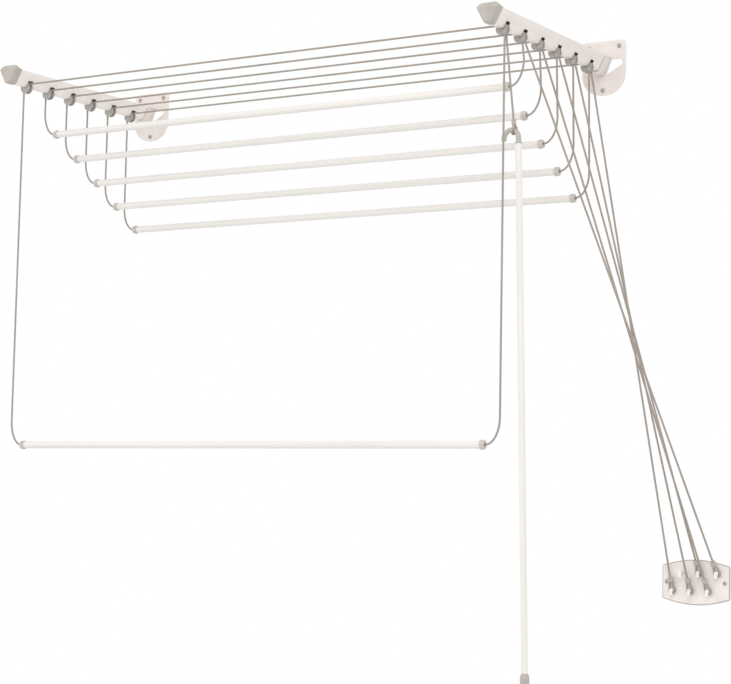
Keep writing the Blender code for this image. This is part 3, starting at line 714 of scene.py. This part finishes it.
def bend(side, number, steps=16):
    """The quarter bend from a strand down into a bar's end."""
    y = PULLEY_Y[number - 1]
    z = BAR_Z[number - 1]
    bar_end, strand_x = {
        "left": (BAR_ENDS[0], ARM_X["left"] - CORD_RUN_RADIUS),
        "right": (BAR_ENDS[1], ARM_X["right"] + CORD_RUN_RADIUS),
    }[side]
    points = []
    for k in range(steps + 1):
        angle = math.pi / 2 * k / steps
        along = bar_end + (strand_x - bar_end) * math.cos(angle)
        points.append(Vector((along, y, z + BEND_HEIGHT * (1 - math.sin(angle)))))
    return points


def straight(start, end, spacing=0.012):
    """Evenly spaced points, close enough that the run can bend or shorten smoothly."""
    count = max(2, round((end - start).length / spacing))
    return [start.lerp(end, k / count) for k in range(count + 1)]


def smooth_corner(path, corner, reach):
    """Replaces one corner of a path by a short curve."""
    before = path[corner] + (path[corner - 1] - path[corner]).normalized() * reach
    after = path[corner] + (path[corner + 1] - path[corner]).normalized() * reach
    curve = []
    for k in range(7):
        t = k / 6
        first = before.lerp(path[corner], t)
        curve.append(first.lerp(path[corner].lerp(after, t), t))
    return path[:corner] + curve + path[corner + 1 :]


def cord_piece(name, path):
    return piece(name, tube(path, CORD_RADIUS), CORD, math.radians(60))


def make_cord(number):
    """The pieces of one cord, from its fixed end to its loop. Each follows what it touches."""
    name = "cord_%d_" % number
    y = PULLEY_Y[number - 1]
    bar = "bar_%d_assembly" % number
    right_x = ARM_X["right"] + CORD_RUN_RADIUS
    anchor = Vector((right_x, y + ANCHOR_Y, LUG_BOTTOM_Z - CORD_RADIUS))
    inside = anchor + Vector((0.0, 0.0, CORD_RADIUS + LUG_BORE_DEPTH - GAP))
    fixed = cord_piece(name + "fixed_end", straight(inside, anchor, 0.003))
    hang_on(fixed, "frame", "cord", "bar_%d_cord" % number)
    right_bend = bend("right", number)
    left_bend = bend("left", number)
    left_top = Vector((ARM_X["left"] - CORD_RUN_RADIUS, y, 0.0))
    for side, top, foot in (("right", anchor, right_bend[0]), ("left", left_top, left_bend[0])):
        strand = cord_piece(name + side + "_strand", straight(top, foot))
        if number == 1:
            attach(strand, "frame")
            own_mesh(strand)
        else:
            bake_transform(strand)
    through = right_bend + left_bend[::-1]
    hang_on(cord_piece(name + "through_bar", through), bar, "cord")
    pull = pull_of(number)
    over = wrap("left", y, math.pi, math.pi / 2) + wrap("right", y, math.pi / 2, pull["leave"])
    over += straight(over[-1], pull["lead"], 0.003)[1:]
    hang_on(cord_piece(name + "over_wheels", over), "frame", "cord")
    ferrule_top = pull["foot"] + pull["up"] * FERRULE_LENGTH
    run = cord_piece(name + "pulling_run", straight(pull["lead"], ferrule_top))
    end = "pull_end_%d" % number
    if number == 1:
        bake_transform(run)
    else:
        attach(run, "frame")
        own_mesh(run)
    hang_on(cord_piece(name + "loop", loop_path(pull)), end, "cord")


def loop_path(pull):
    """Out of the ferrule, down one side, round the peg or rod and back up the other side."""
    across = pull["across"]
    slant = across * (FERRULE_SPLIT / 2)
    foot = pull["foot"]
    top = foot + pull["up"] * (FERRULE_LENGTH - GAP)
    opening = math.radians(35)
    ring = []
    for k in range(25):
        angle = math.pi - opening + (math.pi + 2 * opening) * k / 24
        turn = across * math.cos(angle) + pull["ring_up"] * math.sin(angle)
        ring.append(pull["centre"] + turn * pull["ring"])
    path = [top - slant, foot - slant] + ring + [foot + slant, top + slant]
    path = smooth_corner(path, len(path) - 2, 0.0022)
    return smooth_corner(path, 1, 0.0022)


make_camera()
for cord_number in range(1, PULLEY_COUNT + 1):
    make_cord(cord_number)


# Arms and what is inside them


ARM_LOW, ARM_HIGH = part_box("left_arm")
ARM_FLOOR_Z = ARM_LOW[2]
ARM_TOP_Z = ARM_HIGH[2]
ARM_FRONT_Y = ARM_LOW[1]
ARM_REAR_Y = ARM_HIGH[1]


def arm_section(inward=0.0):
    """The arm's inverted trapezoid as (x, z) pairs, drawn in by a distance on every side."""
    lean = (ARM_TOP_WIDTH - ARM_BOTTOM_WIDTH) / 2 / (ARM_TOP_Z - ARM_FLOOR_Z)
    side_inward = inward * math.hypot(1.0, lean)
    low = ARM_FLOOR_Z + inward
    high = ARM_TOP_Z - inward

    def half_width(z):
        return ARM_BOTTOM_WIDTH / 2 + (z - ARM_FLOOR_Z) * lean - side_inward

    top = half_width(high)
    return [(-half_width(low), low), (half_width(low), low), (top, high), (-top, high)]


def inside_arm():
    """What slides into the arm's hollow, clear of its wall by a gap."""
    return rounded(arm_section(ARM_WALL + GAP), ARM_INNER_CORNER_RADIUS)


def make_arm(side):
    x = ARM_X[side]
    name = side + "_arm"
    section = rounded(arm_section(), ARM_CORNER_RADIUS)
    outer = prism(section, "Y", ARM_FRONT_Y, ARM_REAR_Y, (x, 0.0, 0.0), 0.0003)
    arm = solid(name + "_section", [outer], PAINT)
    inner = rounded(arm_section(ARM_WALL), ARM_INNER_CORNER_RADIUS)
    hollow = prism(inner, "Y", ARM_FRONT_Y - 0.002, ARM_REAR_Y + 0.002, (x, 0.0, 0.0))
    cut(arm, name + "_hollow", [hollow])
    slots = []
    for y in PULLEY_Y:
        half = SLOT_HALF_WIDTH
        outline = [(-half, -0.02), (half, -0.02), (half, SLOT_TOP_Z), (-half, SLOT_TOP_Z)]
        outline = rounded(outline, SLOT_CORNER_RADIUS)
        slots.append(prism(outline, "X", -ARM_TOP_WIDTH, ARM_TOP_WIDTH, (x, y, 0.0)))
    cut(arm, name + "_slots", slots)
    soften(arm, 0.00025)
    hang_on(arm, "frame", "painted_steel", name)


def cap_section(crown, inward):
    """The cap's six-sided section: the arm's trapezoid with a rim, under a raised crown."""
    low_left, low_right, high_right, high_left = arm_section(inward - CAP_RIM)
    half = CAP_CROWN_WIDTH / 2 - inward
    shoulder = ARM_TOP_Z - inward
    top = shoulder + crown
    right = (high_right[0], shoulder)
    left = (high_left[0], shoulder)
    return [low_left, low_right, right, (half, top), (-half, top), left]


def ease(t):
    t = min(max(t, 0.0), 1.0)
    return t * t * (3 - 2 * t)


def make_end_cap(side):
    """The moulded nose: its crown rises behind the face, which is set in by a soft bevel."""
    x = ARM_X[side]
    name = side + "_end_cap"
    low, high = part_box(name)
    back = ARM_FRONT_Y - GAP
    length = back - low[1]
    rings = []
    for t in CAP_STEPS:
        crown = CAP_RIM + (CAP_CROWN - CAP_RIM) * (ease(t / 0.42) - ease((t - 0.60) / 0.42))
        bevel = 1 - math.sqrt(max(0.0, 1 - max(0.0, (t - 0.74) / 0.26) ** 2))
        start = 0.0005 * (1 - min(1.0, t / 0.03))
        outline = rounded(cap_section(crown, CAP_FACE_BEVEL * bevel + start), CAP_CORNER_RADIUS)
        rings.append(ring_of(outline, back - length * t, "Y", (x, 0.0, 0.0)))
    face = rings[-1]
    middle = sum(face, Vector()) / len(face)
    for share in (0.85, 0.45):
        rings.append([middle.lerp(point, share) for point in face])
    cap = solid(name + "_nose", [skin(rings)], GREY, math.radians(28))
    hang_on(cap, "frame", "grey_plastic", name)
    body = prism(inside_arm(), "Y", back + 0.0002, high[1], (x, 0.0, 0.0), 0.0006)
    hang_on(solid(name + "_spigot", [body], GREY), "frame", "grey_plastic")


def cheek_outline():
    """A round cheek about the axle and its neck up to the spine, as (x, z) pairs."""
    half = CHEEK_NECK_WIDTH / 2
    start = math.acos(half / CHEEK_RADIUS)
    top = SPINE_BOTTOM_Z + SPINE_THICKNESS / 2
    turn = arc((0.0, 0.0), CHEEK_RADIUS, start, -math.pi - start, 40)
    return [(half, top)] + turn + [(-half, top)]


def make_carrier(side):
    x = ARM_X[side]
    name = side + "_pulley_carrier"
    low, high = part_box(name)
    centre = (x, 0.0, 0.0)
    half = SPINE_WIDTH / 2
    spine_top = SPINE_BOTTOM_Z + SPINE_THICKNESS
    spine = [(-half, SPINE_BOTTOM_Z), (half, SPINE_BOTTOM_Z), (half, spine_top), (-half, spine_top)]
    shapes = [prism(spine, "Y", low[1], high[1], centre, 0.0004)]
    for y in PULLEY_Y:
        for way in (-1, 1):
            near, far = sorted((y + way * CHEEK_INNER_Y, y + way * CHEEK_OUTER_Y))
            shapes.append(prism(cheek_outline(), "Y", near, far, centre, 0.00035))
            boss = ((-0.0003, 0.0034), (0.0001, 0.0033), (0.00035, 0.0029))
            boss = [(y + way * (CHEEK_OUTER_Y + proud), radius) for proud, radius in boss]
            shapes.append(solid_turned(boss, "Y", centre, 32))
        reach = CHEEK_OUTER_Y - 0.0004
        axle = [(y - reach, AXLE_RADIUS), (y + reach, AXLE_RADIUS)]
        shapes.append(solid_turned(axle, "Y", centre, 32))
        rib_low = (x - 0.0006, y - CHEEK_OUTER_Y, SPINE_BOTTOM_Z - 0.0012)
        rib_high = (x + 0.0006, y + CHEEK_OUTER_Y, SPINE_BOTTOM_Z + 0.0005)
        shapes.append(box(rib_low, rib_high))
    carrier = solid(name + "_moulding", shapes, WHEEL_GREY)
    hang_on(carrier, "frame", "grey_plastic", name)
    if side == "right":
        make_lugs(x)


def make_lugs(x):
    """The blocks before the right pulleys that hold the cords' fixed ends."""
    lug_x = x + CORD_RUN_RADIUS
    half = LUG_HALF_WIDTH - 0.0001
    for number, y in enumerate(PULLEY_Y, 1):
        near = y - CHEEK_INNER_Y - 0.0002
        far = y + ANCHOR_Y - half
        outline = rounded([(-half, far), (half, far), (half, near), (-half, near)], 0.0012)
        block = prism(outline, "Z", LUG_BOTTOM_Z, LUG_TOP_Z, (lug_x, 0.0, 0.0), 0.0004)
        name = "right_cord_lug_%d" % number
        lug = solid(name, [block], WHEEL_GREY)
        bore_ends = (LUG_BOTTOM_Z - 0.002, LUG_BOTTOM_Z + LUG_BORE_DEPTH)
        bore = [(end, LUG_BORE_RADIUS) for end in bore_ends]
        cut(lug, name + "_bore", [solid_turned(bore, "Z", (lug_x, y + ANCHOR_Y, 0.0), 32)])
        shade(lug.data, math.radians(32))
        hang_on(lug, "frame", "grey_plastic")


def mirrored(profile):
    """The same (along, radius) pairs on the other side, in the order that goes on round."""
    return [(-along, radius) for along, radius in reversed(profile)]


def make_wheel(side, number):
    """A pulley with rounded flanges, a cord groove and a bore with broken edges."""
    centre = wheel_centre(side, number)
    half = WHEEL_WIDTH / 2
    rim = WHEEL_RADIUS
    round_floor = CORD_RADIUS + 0.0002
    groove = [
        (round_floor * math.cos(angle), GROOVE_RADIUS + (1 - math.sin(angle)) * round_floor)
        for angle in [math.pi * k / 16 for k in range(17)]
    ]
    bore = [(half - 0.0002, WHEEL_BORE), (half, WHEEL_BORE + 0.0002)]
    flange = [(half, rim - 0.0005), (half - 0.0001, rim - 0.0001), (half - 0.0004, rim)]
    flange.append((groove[0][0] + 0.0002, rim))
    profile = mirrored(bore) + bore + flange + groove + mirrored(flange)
    node = "%s_wheel_%d" % (side, number)
    wheel = solid(node + "_turned", [turned(profile, "Y", centre)], WHEEL_GREY)
    hang_on(wheel, node + "_body", "grey_plastic", node)


# Wall plates and screws


def plate_outline(low, high):
    """The wall plate: a flat top with rounded corners over a deep rounded bottom."""
    half = (high[0] - low[0]) / 2
    radius = PLATE_CORNER_RADIUS
    depth = PLATE_SHOULDER_Z - low[2]
    bowl = []
    for k in range(49):
        angle = math.pi * k / 48
        bowl.append((-half * math.cos(angle), PLATE_SHOULDER_Z - depth * math.sin(angle) ** 0.8))
    right_top = arc((half - radius, high[2] - radius), radius, 0.0, math.pi / 2, 10)
    left_top = arc((radius - half, high[2] - radius), radius, math.pi / 2, math.pi, 10)
    return bowl + right_top + left_top


def cradle_section():
    """The U-shaped seat under the arm's rear end, as (x, z) pairs, clear of the arm by a gap."""
    low, high = arm_section(-GAP)[1:3]
    inner_top = low[0] + (CRADLE_TOP_Z - low[1]) * (high[0] - low[0]) / (high[1] - low[1])
    right = [
        (CRADLE_BOTTOM_WIDTH / 2, ARM_FLOOR_Z - CRADLE_DROP),
        (inner_top + CRADLE_WALL, CRADLE_TOP_Z),
        (inner_top, CRADLE_TOP_Z),
        low,
    ]
    return right + [(-px, pz) for px, pz in reversed(right)]


def make_wall_plate(side):
    name = side + "_wall_plate"
    x = ARM_X[side]
    low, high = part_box(name)
    outline = plate_outline(low, high)
    body = prism(outline, "Y", -PLATE_THICKNESS, 0.0, (x + PLATE_OFFSET[side], 0.0, 0.0))
    # The plate, its tongue and its cradle wear the darkened coat, painted shade.
    plate = solid(name + "_pressing", [body], SHADED_PLATE_PAINT)
    window = rounded(WINDOW, WINDOW_CORNER_RADIUS)
    openings = [prism(window, "Y", -0.006, 0.003, (x, 0.0, 0.0))]
    for where in ("upper_left", "upper_right", "lower"):
        at = middle_of("%s_plate_screw_%s" % (side, where))
        hole = [(-0.006, SCREW_HOLE_RADIUS), (0.003, SCREW_HOLE_RADIUS)]
        openings.append(solid_turned(hole, "Y", (at.x, 0.0, at.z), 40))
    cut(plate, name + "_openings", openings)
    soften(plate, 0.0005, 3)
    hang_on(plate, "frame", "painted_steel", name)
    body = prism(inside_arm(), "Y", low[1], -PLATE_THICKNESS, (x, 0.0, 0.0), 0.0006)
    hang_on(solid(name + "_tongue", [body], SHADED_PLATE_PAINT), "frame", "painted_steel")
    front = -PLATE_THICKNESS - CRADLE_LENGTH
    body = prism(cradle_section(), "Y", front, -PLATE_THICKNESS + 0.0002, (x, 0.0, 0.0))
    cradle = solid(name + "_cradle", [body], SHADED_PLATE_PAINT)
    soften(cradle, 0.0004, 3)
    hang_on(cradle, "frame", "painted_steel")


def make_screw(name, x, y, z, radius, height, *nodes):
    """A domed screw head with a cross recess, over a short shank."""
    shank = SCREW_HOLE_RADIUS - GAP
    seat = y - GAP
    rim = seat - 0.0003
    profile = [(y + 0.0022, shank), (seat, shank), (seat, radius * 0.97)]
    steps = 10
    for k in range(steps + 1):
        angle = math.radians(82) * k / steps
        profile.append((rim - height * math.sin(angle), radius * math.cos(angle * 0.94)))
    head = solid(name, [solid_turned(profile, "Y", (x, 0.0, z), 40)], ZINC)
    face = rim - height
    arm = radius * 0.52
    thin = radius * 0.13
    deep = height * 0.75
    for number, turn in enumerate((math.radians(28), math.radians(118))):
        wide = [
            (px * math.cos(turn) - pz * math.sin(turn), px * math.sin(turn) + pz * math.cos(turn))
            for px, pz in ((-arm, -thin), (arm, -thin), (arm, thin), (-arm, thin))
        ]
        narrow = [(px * 0.45, pz * 0.6) for px, pz in wide]
        levels = ((wide, face - 0.001), (wide, face), (narrow, face + deep))
        rings = [ring_of(outline, along, "Y", (x, 0.0, z)) for outline, along in levels]
        cut(head, "%s_recess_%d" % (name, number), [skin(rings)])
    shade(head.data, math.radians(30))
    hang_on(head, "frame", "screw_steel", *nodes)


# Bars


def make_bar(number):
    """A coated tube with rolled ends and, at each end, a plug with a ringed head."""
    body = "bar_%d_assembly" % number
    node = "bar_%d" % number
    low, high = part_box(node)
    centre = middle_of(node)
    half = (high[0] - low[0]) / 2
    radius = (high[2] - low[2]) / 2
    bore = radius - BAR_WALL
    lip = 0.0003
    rolled = [(half, radius - lip), (half - lip * 0.3, radius - lip * 0.3), (half - lip, radius)]
    wall = [(-half, bore), (half, bore)] + rolled + mirrored(rolled)
    bar = solid(node + "_tube", [turned(wall, "X", centre)], TUBE)
    hang_on(bar, body, "white_tube", node)
    for side, sign in (("left", -1), ("right", 1)):
        make_plug("%s_%s_plug" % (node, side), sign, bore, body)


def make_plug(node, sign, tube_bore, body):
    """A plug: its spigot is inside the tube, and its head has a groove and a flared mouth."""
    low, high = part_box(node)
    centre = middle_of(node)
    end = high[0] if sign > 0 else low[0]
    head_radius = (high[2] - low[2]) / 2
    reach = high[0] - low[0]
    hole = PLUG_BORE_RADIUS
    mouth = hole + 0.0010
    head = PLUG_HEAD_LENGTH
    spigot = tube_bore - GAP
    profile = [
        (-reach, hole),
        (-0.0016, hole),
        (-0.0007, hole + 0.0003),
        (0.0, mouth),
        (0.0, head_radius * 0.80),
        (-0.0003, head_radius * 0.88),
        (-0.0009, head_radius * 0.92),
        (-0.0021, head_radius * 0.93),
        (-0.0024, head_radius * 0.89),
        (-0.0029, head_radius * 0.89),
        (-0.0032, head_radius * 0.98),
        (-0.0035, head_radius),
        (-head + 0.0003, head_radius),
        (-head, head_radius * 0.97),
        (-head, spigot),
        (-reach + 0.0008, spigot),
        (-reach, spigot - 0.0006),
    ]
    profile = [(end + sign * along, radius) for along, radius in profile]
    shape = turned(profile, "X", (0.0, centre.y, centre.z), 40)
    plug = solid(node + "_moulding", [shape], PLUG_GREY, math.radians(40))
    hang_on(plug, body, "grey_plastic", node)


# Hook plate


def bowed_outline(width, side_height, height, corner):
    """An oblong whose top and bottom bow out, with rounded corners, as (x, z) pairs."""
    half = width / 2
    side = side_height / 2
    bow = height / 2 - side
    across = [half - width * k / 40 for k in range(41)]
    middle = [(x, side + bow * (1 - (x / half) ** 2)) for x in across if half - abs(x) > corner]
    turn = arc((half - corner, side - corner * 0.55), corner, 0.0, math.pi / 2, 6)
    upper = turn + middle + [(-x, z) for x, z in reversed(turn)]
    return upper + [(-x, -z) for x, z in upper]


def make_hook_plate():
    """A pale bowed face set into a grey rim, with two screws and six pegs."""
    low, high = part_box("hook_plate")
    x = (low[0] + high[0]) / 2
    z = (low[2] + high[2]) / 2
    width = high[0] - low[0]
    height = high[2] - low[2]
    centre = (x, 0.0, z)
    outline = bowed_outline(width, HOOK_PLATE_SIDE_HEIGHT, height, HOOK_PLATE_CORNER_RADIUS)
    rim = solid("hook_plate_rim", [prism(outline, "Y", -0.0026, 0.0, centre, 0.0005)], RIM_GREY)
    outline = inset(outline, HOOK_PLATE_RIM_WIDTH)
    levels = ((0.0, -0.0024), (0.0, -0.0030), (0.0003, -0.0036), (0.0012, -0.0040), (0.0030, -0.0040))
    rings = [ring_of(inset(outline, draw), y, "Y", centre) for draw, y in levels]
    face = solid("hook_plate_face", [skin(rings)], PLATE_WHITE)
    holes = []
    for sign in (-1, 1):
        hole = [(-0.012, SCREW_HOLE_RADIUS), (0.003, SCREW_HOLE_RADIUS)]
        holes.append(solid_turned(hole, "Y", (x + sign * HOOK_PLATE_SCREW_SPREAD, 0.0, z), 40))
    for obj in (rim, face):
        cut(obj, obj.name + "_holes", holes)
        shade(obj.data, math.radians(32))
    hang_on(rim, "frame", "white_plastic", "hook_plate")
    hang_on(face, "frame", "white_plastic")
    for number, (px, pz) in enumerate(hook_places().values(), 1):
        make_peg("hook_plate_peg_%d" % number, px, pz)
    for name, sign in (("left", -1), ("right", 1)):
        at = (x + sign * HOOK_PLATE_SCREW_SPREAD, HOOK_PLATE_FRONT_Y, z)
        make_screw("hook_plate_screw_" + name, *at, HOOK_SCREW_RADIUS, HOOK_SCREW_HEIGHT)


def make_peg(name, x, z):
    """A peg with a flared root and a lip that turns down in front of the loop."""
    root = HOOK_PLATE_FRONT_Y + 0.0004
    end = HOOK_PLATE_FRONT_Y - PEG_LENGTH
    flare = 0.0014
    profile = [(root, PEG_RADIUS + 0.0013)]
    for k in range(7):
        rise = math.sin(math.pi / 2 * k / 6)
        along = HOOK_PLATE_FRONT_Y - flare * rise
        profile.append((along, PEG_RADIUS + flare * (1 - rise) * 0.8))
    profile.append((end - 0.001, PEG_RADIUS))
    shapes = [solid_turned(profile, "Y", (x, 0.0, z), 40)]
    half = LIP_WIDTH / 2
    crown = arc((0.0, 0.0), half, 0.0, math.pi, 16)
    tip = arc((0.0, half - LIP_DROP), half, math.pi, 2 * math.pi, 16)
    levels = ((0.0006, 0.0), (0.0002, 0.0002), (0.0, 0.0006), (0.0, LIP_THICKNESS * 0.45))
    levels += ((0.0004, LIP_THICKNESS * 0.8), (0.0012, LIP_THICKNESS * 0.97), (0.0026, LIP_THICKNESS))
    centre = (x, 0.0, z)
    lip = crown + tip
    rings = [ring_of(inset(lip, draw), end - depth, "Y", centre) for draw, depth in levels]
    shapes.append(skin(rings))
    hang_on(solid(name, shapes, PLATE_WHITE, math.radians(40)), "frame", "white_plastic")


# Ferrules and the pole


def make_ferrule(number):
    """The oval sleeve on a cord's end: rounded mouths and two crimp dents across it."""
    pull = pull_of(number)
    split = FERRULE_SPLIT / 2
    bore = CORD_RADIUS + 0.0002
    outer = CORD_RADIUS + GAP + 0.0009
    depth = pull["across"].cross(pull["up"])
    sides = 40

    def oval(radius):
        points = []
        for px, py in circle(radius, sides):
            points.append((px + math.copysign(split, px) if abs(px) > 1e-9 else 0.0, py))
        return points

    levels = [(0.0, bore), (0.0, outer - 0.0003), (0.0003, outer)]
    steps = 18
    for k in range(1, steps):
        t = k / steps
        dent = 0.00022 * (math.cos(t * math.pi * 6) - 1) / 2
        levels.append((FERRULE_LENGTH * t, outer + (dent if 0.16 < t < 0.84 else 0.0)))
    levels += [
        (FERRULE_LENGTH - 0.0003, outer),
        (FERRULE_LENGTH, outer - 0.0003),
        (FERRULE_LENGTH, bore),
    ]
    rings = []
    for along, radius in levels:
        middle = pull["foot"] + pull["up"] * along
        rings.append([middle + pull["across"] * px + depth * py for px, py in oval(radius)])
    node = "pull_ferrule_%d" % number
    shape = skin(rings, closed=True)
    sleeve = solid(node + "_sleeve", [shape], FERRULE_PALE, math.radians(45))
    hang_on(sleeve, "pull_end_%d" % number, "ferrule", node)


def make_pole():
    """The pulling pole. Its parts are made upright about the loop's hold and then leaned."""
    lean = Matrix.Translation(POLE_HOLD) @ Matrix.Rotation(-POLE_LEAN, 4, "Y")
    over = Vector((math.cos(POLE_HOLD_ANGLE), 0.0, math.sin(POLE_HOLD_ANGLE)))
    heart = over * -POLE_HOOK_RADIUS
    stem_x = heart.x + POLE_HOOK_RADIUS
    tube_top = heart.z - POLE_STEM_LENGTH
    bottom = tube_top - POLE_TUBE_LENGTH
    stem_foot = Vector((stem_x, 0.0, tube_top - POLE_STEM_INSERT))
    path = straight(stem_foot, Vector((stem_x, 0.0, heart.z - 0.001)), 0.004)
    turn = arc((0.0, 0.0), POLE_HOOK_RADIUS, 0.0, math.pi, 36)
    path += [heart + Vector((px, 0.0, pz)) for px, pz in turn]
    path.append(heart + Vector((-POLE_HOOK_RADIUS, 0.0, -POLE_TIP_DROP)))
    hook = piece("pole_hook_rod", tube(path, POLE_ROD_RADIUS, 32), HOOK_GREY, math.radians(50))
    soften(hook, 0.0009, 3)
    ring = ((-0.0008, 0.0050), (0.0002, 0.0056), (0.0016, 0.0058), (0.0030, 0.0056), (0.0042, 0.0046))
    ring = [(tube_top + rise, r) for rise, r in ring] + [(tube_top + 0.0048, POLE_ROD_RADIUS)]
    stem = (stem_x, 0.0, 0.0)
    collar = solid("pole_hook_collar", [solid_turned(ring, "Z", stem)], HOOK_GREY, math.radians(40))
    radius = POLE_TUBE_RADIUS
    wall = [
        (bottom, radius - POLE_TUBE_WALL),
        (tube_top, radius - POLE_TUBE_WALL),
        (tube_top, radius - 0.0002),
        (tube_top - 0.0002, radius),
        (bottom + 0.0002, radius),
        (bottom, radius - 0.0002),
    ]
    pole = solid("pole_tube_coated", [turned(wall, "Z", stem)], TUBE_UPRIGHT)
    cap = solid("pole_cap_grip", [solid_turned(cap_profile(bottom), "Z", stem)], GREY)
    for obj in (hook, collar, pole, cap):
        obj.data.transform(lean)
    hang_on(hook, "pole", "light_grey_plastic", "pole_hook")
    hang_on(collar, "pole", "light_grey_plastic")
    hang_on(pole, "pole", "white_tube", "pole_tube")
    hang_on(cap, "pole", "grey_plastic", "pole_cap")


def cap_profile(bottom):
    """The foot of the pole: a rounded sleeve with shallow grip rings."""
    radius = POLE_CAP_RADIUS
    length = POLE_CAP_LENGTH
    profile = [(bottom + 0.0040, 0.0052), (bottom + 0.0010, 0.0060), (bottom - 0.0004, radius * 0.86)]
    profile.append((bottom - 0.0020, radius * 0.94))
    start = bottom - 0.0050
    pitch = 0.0046
    for k in range(5):
        for step, depth in ((0.0, 0.0), (0.30, 0.0), (0.42, 0.00045), (0.58, 0.00045), (0.70, 0.0)):
            profile.append((start - pitch * (k + step), radius - depth))
    for k in range(9):
        angle = math.pi / 2 * k / 8
        along = bottom - length + 0.0045 * (1 - math.sin(angle))
        profile.append((along, radius - 0.0035 * (1 - math.cos(angle))))
    return profile


# Floor and light


def make_stage():
    floor_paint = new_material("studio_floor", (0.86, 0.86, 0.855), 0.75)
    tree = floor_paint.node_tree
    stops = ((0.3, (0.845, 0.845, 0.84)), (0.7, (0.875, 0.875, 0.87)))
    feed(tree, ramp(tree, noise(tree, 1.2, 3.0), stops), "Base Color")
    rim = [Vector((0.5 + px, py, FLOOR_Z)) for px, py in circle(FLOOR_RADIUS, 96)]
    low = [point - Vector((0.0, 0.0, 0.02)) for point in rim]
    solid("studio_floor", [skin([rim, low])], floor_paint)


def add_light(name, place, target, size, power, colour):
    data = bpy.data.lights.new(name, "AREA")
    data.shape = "DISK"
    data.size = size
    data.energy = power
    data.color = colour
    lamp = bpy.data.objects.new(name, data)
    bpy.context.scene.collection.objects.link(lamp)
    aim = (Vector(target) - Vector(place)).to_track_quat("-Z", "Y").to_matrix().to_4x4()
    lamp.matrix_world = Matrix.Translation(Vector(place)) @ aim


def make_light():
    world = bpy.data.worlds.new("studio")
    bpy.context.scene.world = world
    world.use_nodes = True
    tree = world.node_tree
    sky = tree.nodes["Background"]
    sky.inputs["Color"].default_value = (1.0, 0.985, 0.97, 1.0)
    sky.inputs["Strength"].default_value = WORLD_LIGHT
    seen = tree.nodes.new("ShaderNodeBackground")
    seen.inputs["Color"].default_value = (1.0, 1.0, 1.0, 1.0)
    seen.inputs["Strength"].default_value = WORLD_SEEN
    ray = tree.nodes.new("ShaderNodeLightPath")
    mix = tree.nodes.new("ShaderNodeMixShader")
    tree.links.new(ray.outputs["Is Camera Ray"], mix.inputs["Fac"])
    tree.links.new(sky.outputs["Background"], mix.inputs[1])
    tree.links.new(seen.outputs["Background"], mix.inputs[2])
    tree.links.new(mix.outputs["Shader"], tree.nodes["World Output"].inputs["Surface"])
    centre = (0.55, -0.2, -0.4)
    add_light("key", (2.4, -3.4, 1.8), centre, 2.6, KEY_POWER, (1.0, 0.985, 0.965))
    add_light("fill", (-2.8, -2.6, 0.3), centre, 3.0, FILL_POWER, (0.97, 0.985, 1.0))
    bpy.context.scene.view_settings.view_transform = "Standard"


for arm_side in ("left", "right"):
    make_arm(arm_side)
    make_end_cap(arm_side)
    make_carrier(arm_side)
    make_wall_plate(arm_side)
    for screw_place in ("upper_left", "upper_right", "lower"):
        screw_node = "%s_plate_screw_%s" % (arm_side, screw_place)
        screw_at = middle_of(screw_node)
        screw_at.y = -PLATE_THICKNESS
        make_screw(screw_node + "_head", *screw_at, WALL_SCREW_RADIUS, WALL_SCREW_HEIGHT, screw_node)
    for wheel_number in range(1, PULLEY_COUNT + 1):
        make_wheel(arm_side, wheel_number)
for bar_number in range(1, PULLEY_COUNT + 1):
    make_bar(bar_number)
    make_ferrule(bar_number)
make_hook_plate()
make_pole()
make_stage()
make_light()
